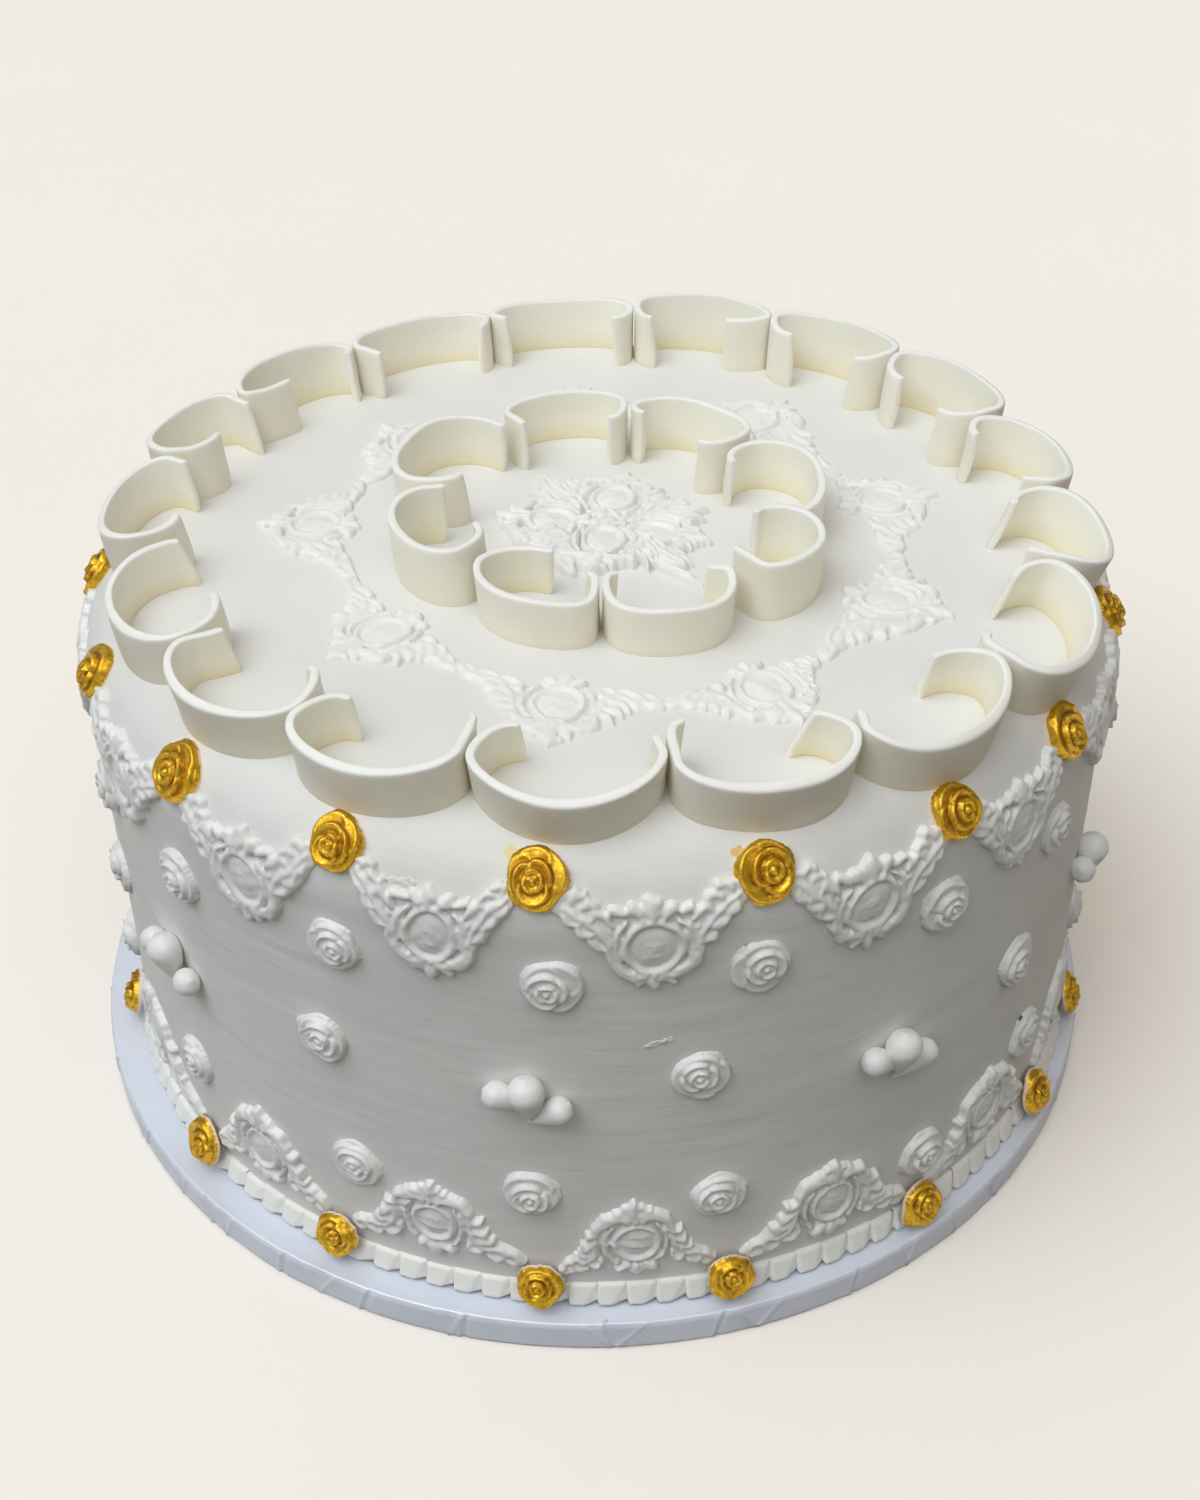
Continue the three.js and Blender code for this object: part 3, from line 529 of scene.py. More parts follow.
def ribbon_line(places, half):
    """The top edge from its clockwise end to the other, inside its own wedge."""
    first_end, first_wide, outermost, last_wide, last_end = places

    def arc(wide):
        turns = [part * math.pi / 2 for part in (0, 0.25, 0.5, 0.75)]
        return [(outermost[0] + (wide[0] - outermost[0]) * math.cos(t),
                 wide[1] + (outermost[1] - wide[1]) * math.sin(t)) for t in turns]

    def arm(wide, end):
        reach = wide[0] - end[0]
        if abs(reach) < CURL_REACH:
            return [end, ((wide[0] + end[0]) / 2, (wide[1] + end[1]) / 2)]
        x = wide[0] - math.copysign(min(CURL_SHARE * abs(reach), CURL_ROUND), reach)
        y = wide[1] + CURL_DROP * (end[1] - wide[1])
        return [end, ((end[0] + x) / 2, end[1] + END_BEND * (y - end[1]) - END_DIP), (x, y)]

    line = (arm(first_wide, first_end) + arc(first_wide) + [outermost]
            + (arm(last_wide, last_end) + arc(last_wide))[::-1])
    points, length = centripetal(line)
    limit = points[:, 1] * math.tan(half) - RIBBON_THICKNESS / 2 - GAP
    points[:, 0] = np.clip(points[:, 0], -limit, limit)
    return points, length


# How each ribbon's ends are cut: how far the foot runs past the rim, in mm, at each end
OUTER_CUTS = {0: (1, 2), 1: (-1, 7), 2: (6, 1), 3: (-2, 2), 15: (2, 9), 16: (1, 8), 14: (4, 5)}
HOLLOW_SIDE = -1
# A section's outline: across in half thicknesses, and up from 0 at the foot to 1 at the rim
RIBBON_OUTLINE = [(1, 0.0), (1, 0.25), (1, 0.5), (1, 0.75), (1, 0.94), (0.96, 0.975), (0.84, 0.993), (0.5, 1.0),
                  (-0.5, 1.0), (-0.84, 0.993), (-0.96, 0.975), (-1, 0.94), (-1, 0.75), (-1, 0.5), (-1, 0.25),
                  (-1, 0.0)]


def ribbon(name, node_name, middle, half, row, centre, cuts, seed):
    ends, crest, lean, *places = row
    line, lengths = ribbon_line(places, half)
    count, length = len(line), lengths[-1]
    rng = random.Random(seed)
    phase = [rng.uniform(0, 6.28) for _ in range(6)]
    grid, values = [], []
    for i in range(count):
        before, after = line[max(i - 1, 0)], line[min(i + 1, count - 1)]
        tangent = (after - before) / np.linalg.norm(after - before)
        across = np.array([-tangent[1], tangent[0]])
        s = lengths[i]
        from_start, from_end = s, length - s
        end_round = math.sqrt(max(1 - (1 - min(min(from_start, from_end) / 1.3, 1)) ** 2, 0))
        thick = RIBBON_THICKNESS / 2 * (0.97 + 0.05 * math.sin(s / 9 + phase[0])) * (0.25 + 0.75 * end_round)
        wave = 0.32 * math.sin(s / 13 + phase[1]) + 0.2 * math.sin(s / 5.5 + phase[2]) - 0.52
        belly = 0.35 * math.sin(s / 17 + phase[3])
        height = ends + (crest - ends) * math.sin(s / length * math.pi) ** 2
        ring, ring_values = [], []
        for side, up in RIBBON_OUTLINE:
            push = (cuts[0] * max(1 - from_start / 14, 0) - cuts[1] * max(1 - from_end / 14, 0)) * (up - 0.5)
            corner = 1.0 * max(1 - up / 0.25, 0) ** 2
            push += corner * (max(1 - from_start / 7, 0) - max(1 - from_end / 7, 0))
            spot = line[i] + across * side * thick + tangent * push
            r = math.hypot(*spot) - lean
            azimuth = middle + math.atan2(spot[0], spot[1])
            foot_x, foot_y = r * math.cos(azimuth) + centre[0], r * math.sin(azimuth) + centre[1]
            foot = float(ice_height(math.hypot(foot_x, foot_y))) - 0.4
            out = up * lean + belly * math.sin(math.pi * up)
            z = foot + up * (height + 0.4 + RIBBON_LIFT + wave)
            ring.append((foot_x + out * math.cos(azimuth), foot_y + out * math.sin(azimuth), z))
            # The painted-shade value runs from the hollow face's foot, 0, over the rim, 1, to the other foot, 2, and
            # the fondant turns it into painted shade on the faces and feet
            cut = max(1 - min(from_start, from_end) / 0.5, 0)
            ring_values.append((up if side * HOLLOW_SIDE > 0 else 2 - up) * (1 - cut) + cut)
        grid.append(ring)
        values.append(ring_values)
    batch = Batch()
    batch.add_grid(np.array(grid), np.array(values))
    n = len(RIBBON_OUTLINE)
    # Close both ends with quads across the section
    for base, flip in ((0, True), ((count - 1) * n, False)):
        for j in range(n // 2 - 1):
            quad = (base + j, base + j + 1, base + n - 2 - j, base + n - 1 - j)
            batch.faces.append(quad[::-1] if flip else quad)
    piece = batch.build(name, fondant, "fondant")
    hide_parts(node_name)


def round_the_cake(count, listed, level, seed):
    """The listed places, then even steps over the part of the row that isn't shown."""
    rng = random.Random(seed)
    last = listed[-1][0]
    step = (listed[0][0] + 360 - last) / (count - len(listed) + 1)
    rest = [(last + step * (k + 1) + rng.uniform(-1, 1), level + rng.uniform(-1.5, 1.5))
            for k in range(count - len(listed))]
    return list(listed) + rest


# Materials

def material(name, build):
    m = bpy.data.materials.new(name)
    m.use_nodes = True
    tree = m.node_tree
    shader = tree.nodes["Principled BSDF"]
    build(tree, shader)
    return m


def link(tree, a, b):
    tree.links.new(a, b)


def node(tree, kind, **values):
    made = tree.nodes.new(kind)
    for key, value in values.items():
        if key in made.inputs:
            made.inputs[key].default_value = value
        else:
            setattr(made, key, value)
    return made


def noise(tree, scale, detail=4.0, rough=0.55, stretch=(1, 1, 1)):
    coords = node(tree, "ShaderNodeTexCoord")
    mapping = node(tree, "ShaderNodeMapping", Scale=stretch)
    texture = node(tree, "ShaderNodeTexNoise", Scale=scale, Detail=detail, Roughness=rough)
    link(tree, coords.outputs["Object"], mapping.inputs["Vector"])
    link(tree, mapping.outputs["Vector"], texture.inputs["Vector"])
    return texture.outputs["Fac"]


def ramp(tree, value, stops):
    made = node(tree, "ShaderNodeValToRGB")
    elements = made.color_ramp.elements
    while len(elements) < len(stops):
        elements.new(0.5)
    for element, (place, colour) in zip(elements, stops):
        element.position = place
        element.color = (*colour, 1)
    link(tree, value, made.inputs["Fac"])
    return made.outputs["Color"]


def mix(tree, factor, a, b):
    made = node(tree, "ShaderNodeMix", data_type="RGBA")
    for value, socket in ((factor, made.inputs[0]), (a, made.inputs[6]), (b, made.inputs[7])):
        if isinstance(value, bpy.types.NodeSocket):
            link(tree, value, socket)
        elif isinstance(value, tuple):
            socket.default_value = (*value, 1)
        else:
            socket.default_value = value
    return made.outputs[2]


def bump(tree, shader, height, strength, distance, before=None):
    made = node(tree, "ShaderNodeBump", Strength=strength, Distance=distance)
    link(tree, height, made.inputs["Height"])
    if before is not None:
        link(tree, before, made.inputs["Normal"])
    link(tree, made.outputs["Normal"], shader.inputs["Normal"])
    return made.outputs["Normal"]


def paint_value(tree):
    return node(tree, "ShaderNodeAttribute", attribute_name="paint").outputs["Fac"]


def blot(tree, centre, reach, seed):
    """1 inside a ragged spot round a point of the icing, given in metres."""
    coords = node(tree, "ShaderNodeTexCoord")
    far = node(tree, "ShaderNodeVectorMath", operation="DISTANCE")
    link(tree, coords.outputs["Object"], far.inputs[0])
    far.inputs[1].default_value = centre
    ragged = node(tree, "ShaderNodeMath", operation="MULTIPLY_ADD")
    link(tree, noise(tree, 500 + seed, 3, 0.7), ragged.inputs[0])
    ragged.inputs[1].default_value = reach * 2.2
    link(tree, far.outputs["Value"], ragged.inputs[2])
    edge = node(tree, "ShaderNodeMapRange")
    link(tree, ragged.outputs[0], edge.inputs["Value"])
    edge.inputs["From Min"].default_value = reach * 1.7
    edge.inputs["From Max"].default_value = reach * 2.05
    edge.inputs["To Min"].default_value = 1.0
    edge.inputs["To Max"].default_value = 0.0
    return edge.outputs[0]


def icing_nodes(tree, s):
    broad = noise(tree, 14, 3)
    streaks = noise(tree, 9, 5, 0.6, (1, 1, 11))
    colour = ramp(tree, broad, [(0.3, (0.755, 0.757, 0.735)), (0.7, (0.80, 0.80, 0.78))])
    colour = mix(tree, blot(tree, (-0.0225, -0.1779, 0.2031), 0.0026, 0), colour, (0.80, 0.68, 0.34))
    colour = mix(tree, blot(tree, (0.0454, -0.1770, 0.2014), 0.0022, 90), colour, (0.74, 0.52, 0.18))
    link(tree, colour, s.inputs["Base Color"])
    rough = ramp(tree, streaks, [(0.3, (0.50, 0.50, 0.50)), (0.7, (0.64, 0.64, 0.64))])
    link(tree, rough, s.inputs["Roughness"])
    s.inputs["Subsurface Weight"].default_value = 0.12
    s.inputs["Subsurface Radius"].default_value = (0.006, 0.005, 0.004)
    s.inputs["Subsurface Scale"].default_value = 0.5
    first = bump(tree, s, streaks, 0.3, 0.0014)
    first = bump(tree, s, noise(tree, 34, 4, 0.6, (1, 1, 7)), 0.3, 0.0006, first)
    bump(tree, s, noise(tree, 420, 3, 0.6), 0.12, 0.0003, first)


def mould_nodes(tree, s):
    colour = ramp(tree, noise(tree, 60, 3), [(0.3, (0.80, 0.81, 0.79)), (0.7, (0.86, 0.865, 0.85))])
    link(tree, colour, s.inputs["Base Color"])
    s.inputs["Roughness"].default_value = 0.42
    s.inputs["Subsurface Weight"].default_value = 0.15
    s.inputs["Subsurface Radius"].default_value = (0.004, 0.0035, 0.003)
    s.inputs["Subsurface Scale"].default_value = 0.4
    bump(tree, s, noise(tree, 700, 4, 0.6), 0.2, 0.0003)


def border_nodes(tree, s):
    mould_nodes(tree, s)
    # Lighter and creamier than the moulded white: the cream is the piped border's own, and the extra lightness is
    # painted light for the outward-sloping beads, which catch more light
    colour = ramp(tree, noise(tree, 60, 3), [(0.3, (0.885, 0.885, 0.84)), (0.7, (0.93, 0.93, 0.89))])
    link(tree, colour, s.inputs["Base Color"])


def fondant_nodes(tree, s):
    half = node(tree, "ShaderNodeMath", operation="MULTIPLY")
    link(tree, paint_value(tree), half.inputs[0])
    half.inputs[1].default_value = 0.5
    # Hollow face, rim, outer face: the faces are painted yellower and darker than the rim, and the feet deep amber, as
    # painted shade from light bounced between the ivory walls and where each ribbon stands on the icing
    body = ramp(tree, half.outputs[0], [(0.0, (0.85, 0.74, 0.47)), (0.04, (0.89, 0.82, 0.62)), (0.2, (0.93, 0.905, 0.785)),
                                        (0.455, (0.935, 0.922, 0.835)), (0.48, (0.935, 0.93, 0.89)),
                                        (0.52, (0.935, 0.93, 0.89)), (0.545, (0.89, 0.868, 0.775)),
                                        (0.93, (0.885, 0.85, 0.735)), (1.0, (0.865, 0.80, 0.63))])
    grain = ramp(tree, noise(tree, 30, 4), [(0.3, (0.965, 0.96, 0.945)), (0.7, (1.0, 1.0, 1.0))])
    tinted = node(tree, "ShaderNodeMix", data_type="RGBA", blend_type="MULTIPLY")
    tinted.inputs[0].default_value = 1.0
    link(tree, body, tinted.inputs[6])
    link(tree, grain, tinted.inputs[7])
    link(tree, tinted.outputs[2], s.inputs["Base Color"])
    rough = ramp(tree, noise(tree, 80, 3), [(0.3, (0.42, 0.42, 0.42)), (0.7, (0.55, 0.55, 0.55))])
    link(tree, rough, s.inputs["Roughness"])
    s.inputs["Subsurface Weight"].default_value = 0.25
    s.inputs["Subsurface Radius"].default_value = (0.008, 0.006, 0.003)
    s.inputs["Subsurface Scale"].default_value = 0.5
    bump(tree, s, noise(tree, 260, 4, 0.6), 0.12, 0.0004)


def gold_nodes(tree, s):
    paint = paint_value(tree)
    flakes = noise(tree, 900, 3, 0.7)
    gold = ramp(tree, flakes, [(0.3, (0.58, 0.32, 0.015)), (0.55, (0.79, 0.48, 0.035)), (0.75, (0.98, 0.70, 0.11))])
    worn = ramp(tree, noise(tree, 330, 3, 0.6), [(0.5, (0.0, 0.0, 0.0)), (0.66, (0.6, 0.6, 0.6))])
    # The creases are mixed to a dark amber: painted shade in the hollows of the petals.
    deep = mix(tree, paint, mix(tree, worn, gold, (0.42, 0.20, 0.01)), (0.30, 0.11, 0.005))
    bare = node(tree, "ShaderNodeMath", operation="LESS_THAN")
    link(tree, paint, bare.inputs[0])
    bare.inputs[1].default_value = -0.45
    colour = mix(tree, bare.outputs[0], deep, (0.86, 0.66, 0.50))
    link(tree, colour, s.inputs["Base Color"])
    metal = node(tree, "ShaderNodeMapRange")
    link(tree, bare.outputs[0], metal.inputs["Value"])
    metal.inputs["To Min"].default_value = 0.85
    metal.inputs["To Max"].default_value = 0.1
    link(tree, metal.outputs[0], s.inputs["Metallic"])
    rough = ramp(tree, flakes, [(0.35, (0.46, 0.46, 0.46)), (0.7, (0.28, 0.28, 0.28))])
    link(tree, rough, s.inputs["Roughness"])
    bump(tree, s, flakes, 0.35, 0.0003)


def foil_nodes(tree, s):
    soft = noise(tree, 22, 3)
    colour = ramp(tree, soft, [(0.3, (0.71, 0.755, 0.87)), (0.7, (0.77, 0.815, 0.93))])
    link(tree, colour, s.inputs["Base Color"])
    rough = ramp(tree, noise(tree, 50, 3), [(0.3, (0.30, 0.30, 0.30)), (0.7, (0.42, 0.42, 0.42))])
    link(tree, rough, s.inputs["Roughness"])
    s.inputs["Metallic"].default_value = 0.15
    bump(tree, s, noise(tree, 120, 4, 0.6), 0.10, 0.0005)


icing = material("icing", icing_nodes)
mould = material("moulded_white", mould_nodes)
border = material("border_white", border_nodes)
fondant = material("fondant", fondant_nodes)
gold = material("gold_lustre", gold_nodes)
foil = material("drum_foil", foil_nodes)


# The iced cake

def build_icing():
    sides = 540
    azimuth = np.linspace(0, 2 * math.pi, sides, endpoint=False)
    length = SHOULDER_START + SHOULDER * math.pi / 2
    levels = np.concatenate([np.linspace(BASE, SHOULDER_START, 46), np.linspace(SHOULDER_START, length, 18)[1:],
                             length + (np.linspace(0, 1, 24)[1:-1] ** 0.9) * (CAKE_RADIUS - SHOULDER)])
    a, level = np.meshgrid(azimuth, levels)
    around = a * CAKE_RADIUS
    # Hand-smoothed icing: long shallow swells, weakened to about a quarter on the top, where the ribbons stand
    swell = 0.35 * ripple(around * 0 + 90 * np.cos(a) + 40, level + 90 * np.sin(a), 5, 120)
    smear = 0.10 * ripple(around * 0.25 + 40 * np.cos(a), level * 2.0 + 40 * np.sin(a), 9, 22)
    lift = (swell + smear) * np.clip((length + 10 - level) / 30, 0.25, 1) - 0.25
    points = on_cake(a, level, lift)
    flat = level > length
    points[..., 2] = np.where(flat, CAKE_TOP + lift, points[..., 2])
    batch = Batch()
    batch.add_grid(points, wrap_columns=True)
    # The last ring closes on the axis
    ring = (len(levels) - 1) * sides
    batch.add([(0, 0, CAKE_TOP - 0.25)], [])
    centre = batch.count - 1
    batch.faces.extend((ring + k, ring + (k + 1) % sides, centre) for k in range(sides))
    return batch.build("cake_icing", icing, "icing")


cake = build_icing()
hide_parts("cake_body")


# Two marks of the palette knife: a small scar on the side, and a smear on the shoulder

def knife_marks():
    batch = Batch()
    for azimuth, level, turn, height in ((-84.5, 135.8, 0.12, 0.75), (-108.8, 193, -0.1, 0.35)):
        r = Relief(6, -3, 3, 0.3)
        x, y = r.x, r.y
        r.x = x + 0.5 * ripple(x, y, int(level), 2.5)
        r.y = y + 0.4 * ripple(x, y, int(level) + 1, 2.5)
        r.stroke([(-4.6, -0.6, 0.5), (-2.6, -0.2, 1.2), (-0.6, 0.2, 0.9)], height)
        r.stroke([(-1.0, 0.5, 0.6), (1.4, 0.2, 1.5), (3.4, 0.9, 1.1), (4.8, 1.0, 0.4)], height * 0.8)
        r.h = np.where(r.h > 0, r.h * (0.6 + 0.5 * ripple(x, y, int(level) + 2, 1.8)), r.h)
        r.x, r.y = x, y
        r.h = np.where(r.h > 0, r.h, -0.35)
        r.lay(batch, side_place(azimuth, level, turn), lift=-0.12)
    return batch.build("knife_marks", icing, "icing")


knife_marks()


# The drum: a round board wrapped in foil, pleated round its edge

def build_drum():
    rng = random.Random(31)
    sides = 1440
    azimuth = np.linspace(0, 360, sides, endpoint=False)
    radius_steps = [0.0, 60, 120, 170, 190, 198, 201.2]
    pleat_at, at = [], -180.0
    while at < 180:
        pleat_at.append(at)
        at += rng.uniform(9, 17)
    slants = [rng.uniform(-0.12, 0.12) for _ in pleat_at]
    folds = [(-88.0, 3.2), (-119.0, 2.2), (-104.5, 1.6), (-73.5, 2.6), (-42.0, 2.0), (-56.0, 1.4),
             (-150.0, 1.4), (-140.0, 1.3), (-132.0, 1.4), (20.0, 2.6), (63.0, 2.0), (97.0, 2.8), (141.0, 1.8)]

    def side_lift(a, z):
        """Depth of the foil behind the drum's full radius."""
        total = np.full(np.shape(a), -0.7)
        for k, start in enumerate(pleat_at):
            line = start + slants[k] * z
            gap = (a - line + 180) % 360 - 180
            total = total + 0.55 * np.exp(-(gap / 0.16) ** 2) - 0.5 * np.exp(-((gap - 0.45) / 0.3) ** 2)
            total = total + 0.12 * np.clip(1 - np.abs(gap) / 4, 0, 1)
        for centre, width in folds:
            gap = (a - centre + 180) % 360 - 180
            depth = (DRUM_THICKNESS - z) / DRUM_THICKNESS
            for sign in (-1, 1):
                line = sign * width * (1 - depth)
                total = total + 0.55 * np.exp(-((gap - line) / 0.14) ** 2)
            total = total - 0.22 * np.clip(1 - np.abs(gap) / np.maximum(width * (1 - depth), 0.05), 0, 1)
        total = total + 0.10 * ripple(a * 3.2, z * 0.6, 12, 34)
        return np.minimum(total, -0.02)

    rows = []
    for r in radius_steps:
        rows.append((r, np.full(sides, DRUM_THICKNESS - 0.12), 0))
    points = []
    for r, z, _ in rows:
        dip = -0.05 * (1 + ripple(azimuth * 2 + r, azimuth * 0 + r, 3, 60))
        points.append(np.stack([r * np.cos(np.radians(azimuth)), r * np.sin(np.radians(azimuth)), z + dip], -1))
    edge = [(201.9, 12.55), (202.5, 12.2), (202.85, 11.7)]
    side = [(DRUM_RADIUS, z) for z in np.linspace(11.0, 1.2, 12)]
    foot = [(203.0, 0.5), (202.4, 0.1), (198, 0.0), (0.0, 0.0)]
    for r, z in edge + side + foot:
        share = 1.0 if r > 200 else 0.0
        lift = side_lift(azimuth, np.full(sides, z)) * share
        if r > 200 and z > 11.9:
            lift = lift * 0.6
        rr = r + np.where(share > 0, lift, 0)
        points.append(np.stack([rr * np.cos(np.radians(azimuth)), rr * np.sin(np.radians(azimuth)),
                                np.full(sides, z)], -1))
    batch = Batch()
    batch.add_grid(np.array(points)[::-1], wrap_columns=True)
    return batch.build("foil_drum", foil, "drum_wrap", offset=(0, 0, 0))


drum = build_drum()
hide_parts("cake_drum")


# The bead border

def build_beads():
    batch = Batch()
    rng = random.Random(17)
    columns, rows = 13, 8
    for k in range(BEAD_COUNT):
        start = (k - 0.5) / BEAD_COUNT * 2 * math.pi
        width = 2 * math.pi / BEAD_COUNT
        slant = rng.uniform(0.34, 0.52)
        tall = BEAD_HEIGHT - rng.uniform(0.0, 1.3)
        deep = BEAD_DEPTH * rng.uniform(0.9, 1.0)
        tip = rng.uniform(-0.03, 0.03)
        grid = []
        for i in range(rows + 1):
            v = i / rows
            row = []
            for j in range(columns + 1):
                u = j / columns
                rise = min(1.0, math.sqrt(u / 0.07), (1 - u) / (0.07 + slant * v))
                profile = 1.2 + (deep - 1.2) * v ** 0.8
                under = 1.0 if v < 0.85 else 1 - 0.35 * ((v - 0.85) / 0.15) ** 2
                depth = profile * under * (0.45 + 0.55 * rise)
                z = BASE + tall * (1 - v) + (0.9 * (1 - rise) + 0.7 * (u - 0.5) ** 2) * v
                a = start + width * (u + tip * (v - 0.5))
                r = CAKE_RADIUS + depth
                row.append((r * math.cos(a), r * math.sin(a), z))
            grid.append(row)
        grid.insert(0, [(math.cos(start + width * j / columns) * (CAKE_RADIUS - 0.6),
                         math.sin(start + width * j / columns) * (CAKE_RADIUS - 0.6),
                         BASE + tall) for j in range(columns + 1)])
        batch.add_grid(np.array(grid)[::-1])
    return batch.build("piped_beads", border, "icing")


beads = build_beads()
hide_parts("bead_border")


# Scrollwork

foot_pieces = [scroll_piece(FOOT_ARM, FOOT_LEAVES, FOOT_SHOULDER, 0.88, 1.0, 0.55, 10 + 5 * k) for k in range(3)]
swag_pieces = [scroll_piece(SWAG_ARM, SWAG_LEAVES, SWAG_SHOULDER, 1.0, 0.7, 1.0, 40 + 5 * k) for k in range(3)]
star_pieces = [scroll_piece(FOOT_ARM, FOOT_LEAVES, FOOT_SHOULDER, 0.97, 1.35, 0.7, 70 + 5 * k) for k in range(3)]
upper_roses = round_the_cake(UPPER_ROSE_COUNT, UPPER_ROSES, UPPER_ROSE_LEVEL, 1)
lower_roses = round_the_cake(LOWER_ROSE_COUNT, LOWER_ROSES, LOWER_ROSE_LEVEL, 2)


def between(roses, k):
    here, there = roses[k], roses[(k + 1) % len(roses)]
    gap = (there[0] - here[0]) % 360
    return here[0] + gap / 2, gap, here[1], there[1]


UPPER_SCROLL_LEVEL = 176.0
LOWER_SCROLL_LEVEL = 44.5

batch = Batch()
for k in range(UPPER_ROSE_COUNT):
    rng = random.Random(100 + k)
    azimuth, gap, low, high = between(upper_roses, k)
    reach = math.radians(gap) * CAKE_RADIUS / 2 - 6.5
    # The piece hangs upside down, so its arms rise to the two roses
    place = side_place(azimuth, UPPER_SCROLL_LEVEL + rng.uniform(-0.7, 0.7), math.pi + rng.uniform(-0.05, 0.05))
    place = bent(place, SWAG_TIP, (-reach, UPPER_SCROLL_LEVEL + 6 - high), (reach, UPPER_SCROLL_LEVEL + 6 - low))
    swag_pieces[k % 3].lay(batch, place, seed=200 + k * 3, warp=0.7, relief=rng.uniform(0.72, 0.85))
upper = batch.build("upper_scrolls", mould, "icing")
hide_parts("upper_scrollwork")

batch = Batch()
for k in range(LOWER_ROSE_COUNT):
    rng = random.Random(300 + k)
    azimuth, gap, low, high = between(lower_roses, k)
    reach = math.radians(gap) * CAKE_RADIUS / 2 - 6
    place = side_place(azimuth, LOWER_SCROLL_LEVEL + rng.uniform(-0.7, 0.7), rng.uniform(-0.05, 0.05))
    place = bent(place, FOOT_TIP, (-reach, low + 6 - LOWER_SCROLL_LEVEL), (reach, high + 6 - LOWER_SCROLL_LEVEL))
    foot_pieces[k % 3].lay(batch, place, seed=400 + k * 3, warp=0.7, relief=rng.uniform(0.78, 0.92))
lower = batch.build("lower_scrolls", mould, "icing")
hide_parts("lower_scrollwork")


def on_top(azimuth, radius):
    return radius * math.cos(math.radians(azimuth)), radius * math.sin(math.radians(azimuth))


def seen_from(centre, turn, spot):
    """A point of the top in the frame of a piece whose crown points along turn."""
    dx, dy = spot[0] - centre[0], spot[1] - centre[1]
    return dx * math.sin(turn) - dy * math.cos(turn), dx * math.cos(turn) + dy * math.sin(turn)


batch = Batch()
for k, (azimuth, radius) in enumerate(STAR):
    turn = math.radians(azimuth)
    centre = on_top(azimuth, radius)
    # Seen from above with the crown outward, a piece's left arm runs to the valley after it
    left, right = (seen_from(centre, turn, on_top(*VALLEYS[i])) for i in (k, k - 1))
    place = bent(top_place(*centre, turn), FOOT_TIP, left, right)
    star_pieces[k % 3].lay(batch, place, seed=500 + k * 3, warp=0.9, relief=0.62)
star = batch.build("star_scrolls", mould, "icing")
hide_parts("star_scrollwork")

batch = Batch()
for k, (x, y, azimuth, lift, one, other) in enumerate(MEDALLION):
    turn = math.radians(azimuth)
    left, right = sorted((seen_from((x, y), turn, one), seen_from((x, y), turn, other)))
    place = bent(top_place(x, y, turn), FOOT_TIP, left, right)
    star_pieces[k % 3].lay(batch, place, seed=600 + k * 3, warp=0.9, relief=0.85, lift=lift)
medallion = batch.build("medallion_scrolls", mould, "icing")
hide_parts("centre_medallion")


# Roses

def rose_row(name, places, seed, nodes=()):
    batch = Batch()
    for k, (azimuth, level) in enumerate(places):
        rng = random.Random(seed + k)
        rose = rose_piece(seed + k, radius=rng.uniform(9.7, 10.6), height=rng.uniform(4.6, 5.4))
        place = side_place(azimuth, level, rng.uniform(0, 6.28))
        rose.lay(batch, place)
    return batch.build(name, mould, "icing")


rose_row("white_roses_high", round_the_cake(17, HIGH_ROW, 160, 3), 700)
rose_row("white_roses_middle", round_the_cake(9, MIDDLE_ROW, 116, 4), 740)
rose_row("white_roses_low", round_the_cake(16, LOW_ROW, 62, 5), 780)

for k, (azimuth, level) in enumerate(upper_roses):
    rng = random.Random(900 + k)
    rose = rose_piece(900 + k, radius=rng.uniform(9.3, 10.2), height=5.0)
    rose_batch = Batch()
    rose.lay(rose_batch, side_place(azimuth, level, rng.uniform(0, 6.28)), lift=1.6, value=rose_shade_and_bare(rose))
    piece = rose_batch.build(f"painted_rose_{k + 1:02d}", gold, "gold_lustre")
    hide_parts(f"gold_rose_{k + 1:02d}")

batch = Batch()
for k, (azimuth, level) in enumerate(lower_roses):
    rng = random.Random(950 + k)
    rose = rose_piece(950 + k, radius=rng.uniform(8.4, 9.5), height=4.8)
    turn = rng.uniform(0, 6.28)
    a = math.radians(azimuth)
    tilt = math.radians(90 - LOWER_ROSE_TILT)
    base = (Matrix.Rotation(a, 4, "Z") @ Matrix.Translation((CAKE_RADIUS + LOWER_ROSE_OFFSET, 0, level))
            @ Matrix.Rotation(math.pi / 2, 4, "Z") @ Matrix.Rotation(tilt, 4, "X") @ Matrix.Rotation(turn, 4, "Z"))
    base = np.array(base)

    def place(x, y, lift):
        flat = np.stack([x, y, lift, np.ones_like(x)], -1)
        return (flat @ base.T)[..., :3]

    rose.lay(batch, place, value=rose_shade_and_bare(rose))
batch.build("painted_roses_foot", gold, "gold_lustre")


# Trios of drops

for k, (azimuth, level) in enumerate(round_the_cake(TRIO_COUNT, TRIOS, 112, 6)):
    rng = random.Random(1000 + k)
    place = side_place(azimuth, level, rng.uniform(-0.08, 0.08), rng.uniform(0.96, 1.04))
    trio = Batch()
    drop_mesh(trio, place, 5.0, 15.0, 1.05, -10.6, 1.6)
    drop_mesh(trio, place, 5.0, 14.0, -0.95, 9.6, -4.4)
    drop_mesh(trio, place, 6.3, 16.0, 0.05, -0.4, 4.2)
    piece = trio.build(f"piped_trio_{k + 1:02d}", mould, "icing")
    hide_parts(f"drop_trio_{k + 1:02d}")


# Ribbons

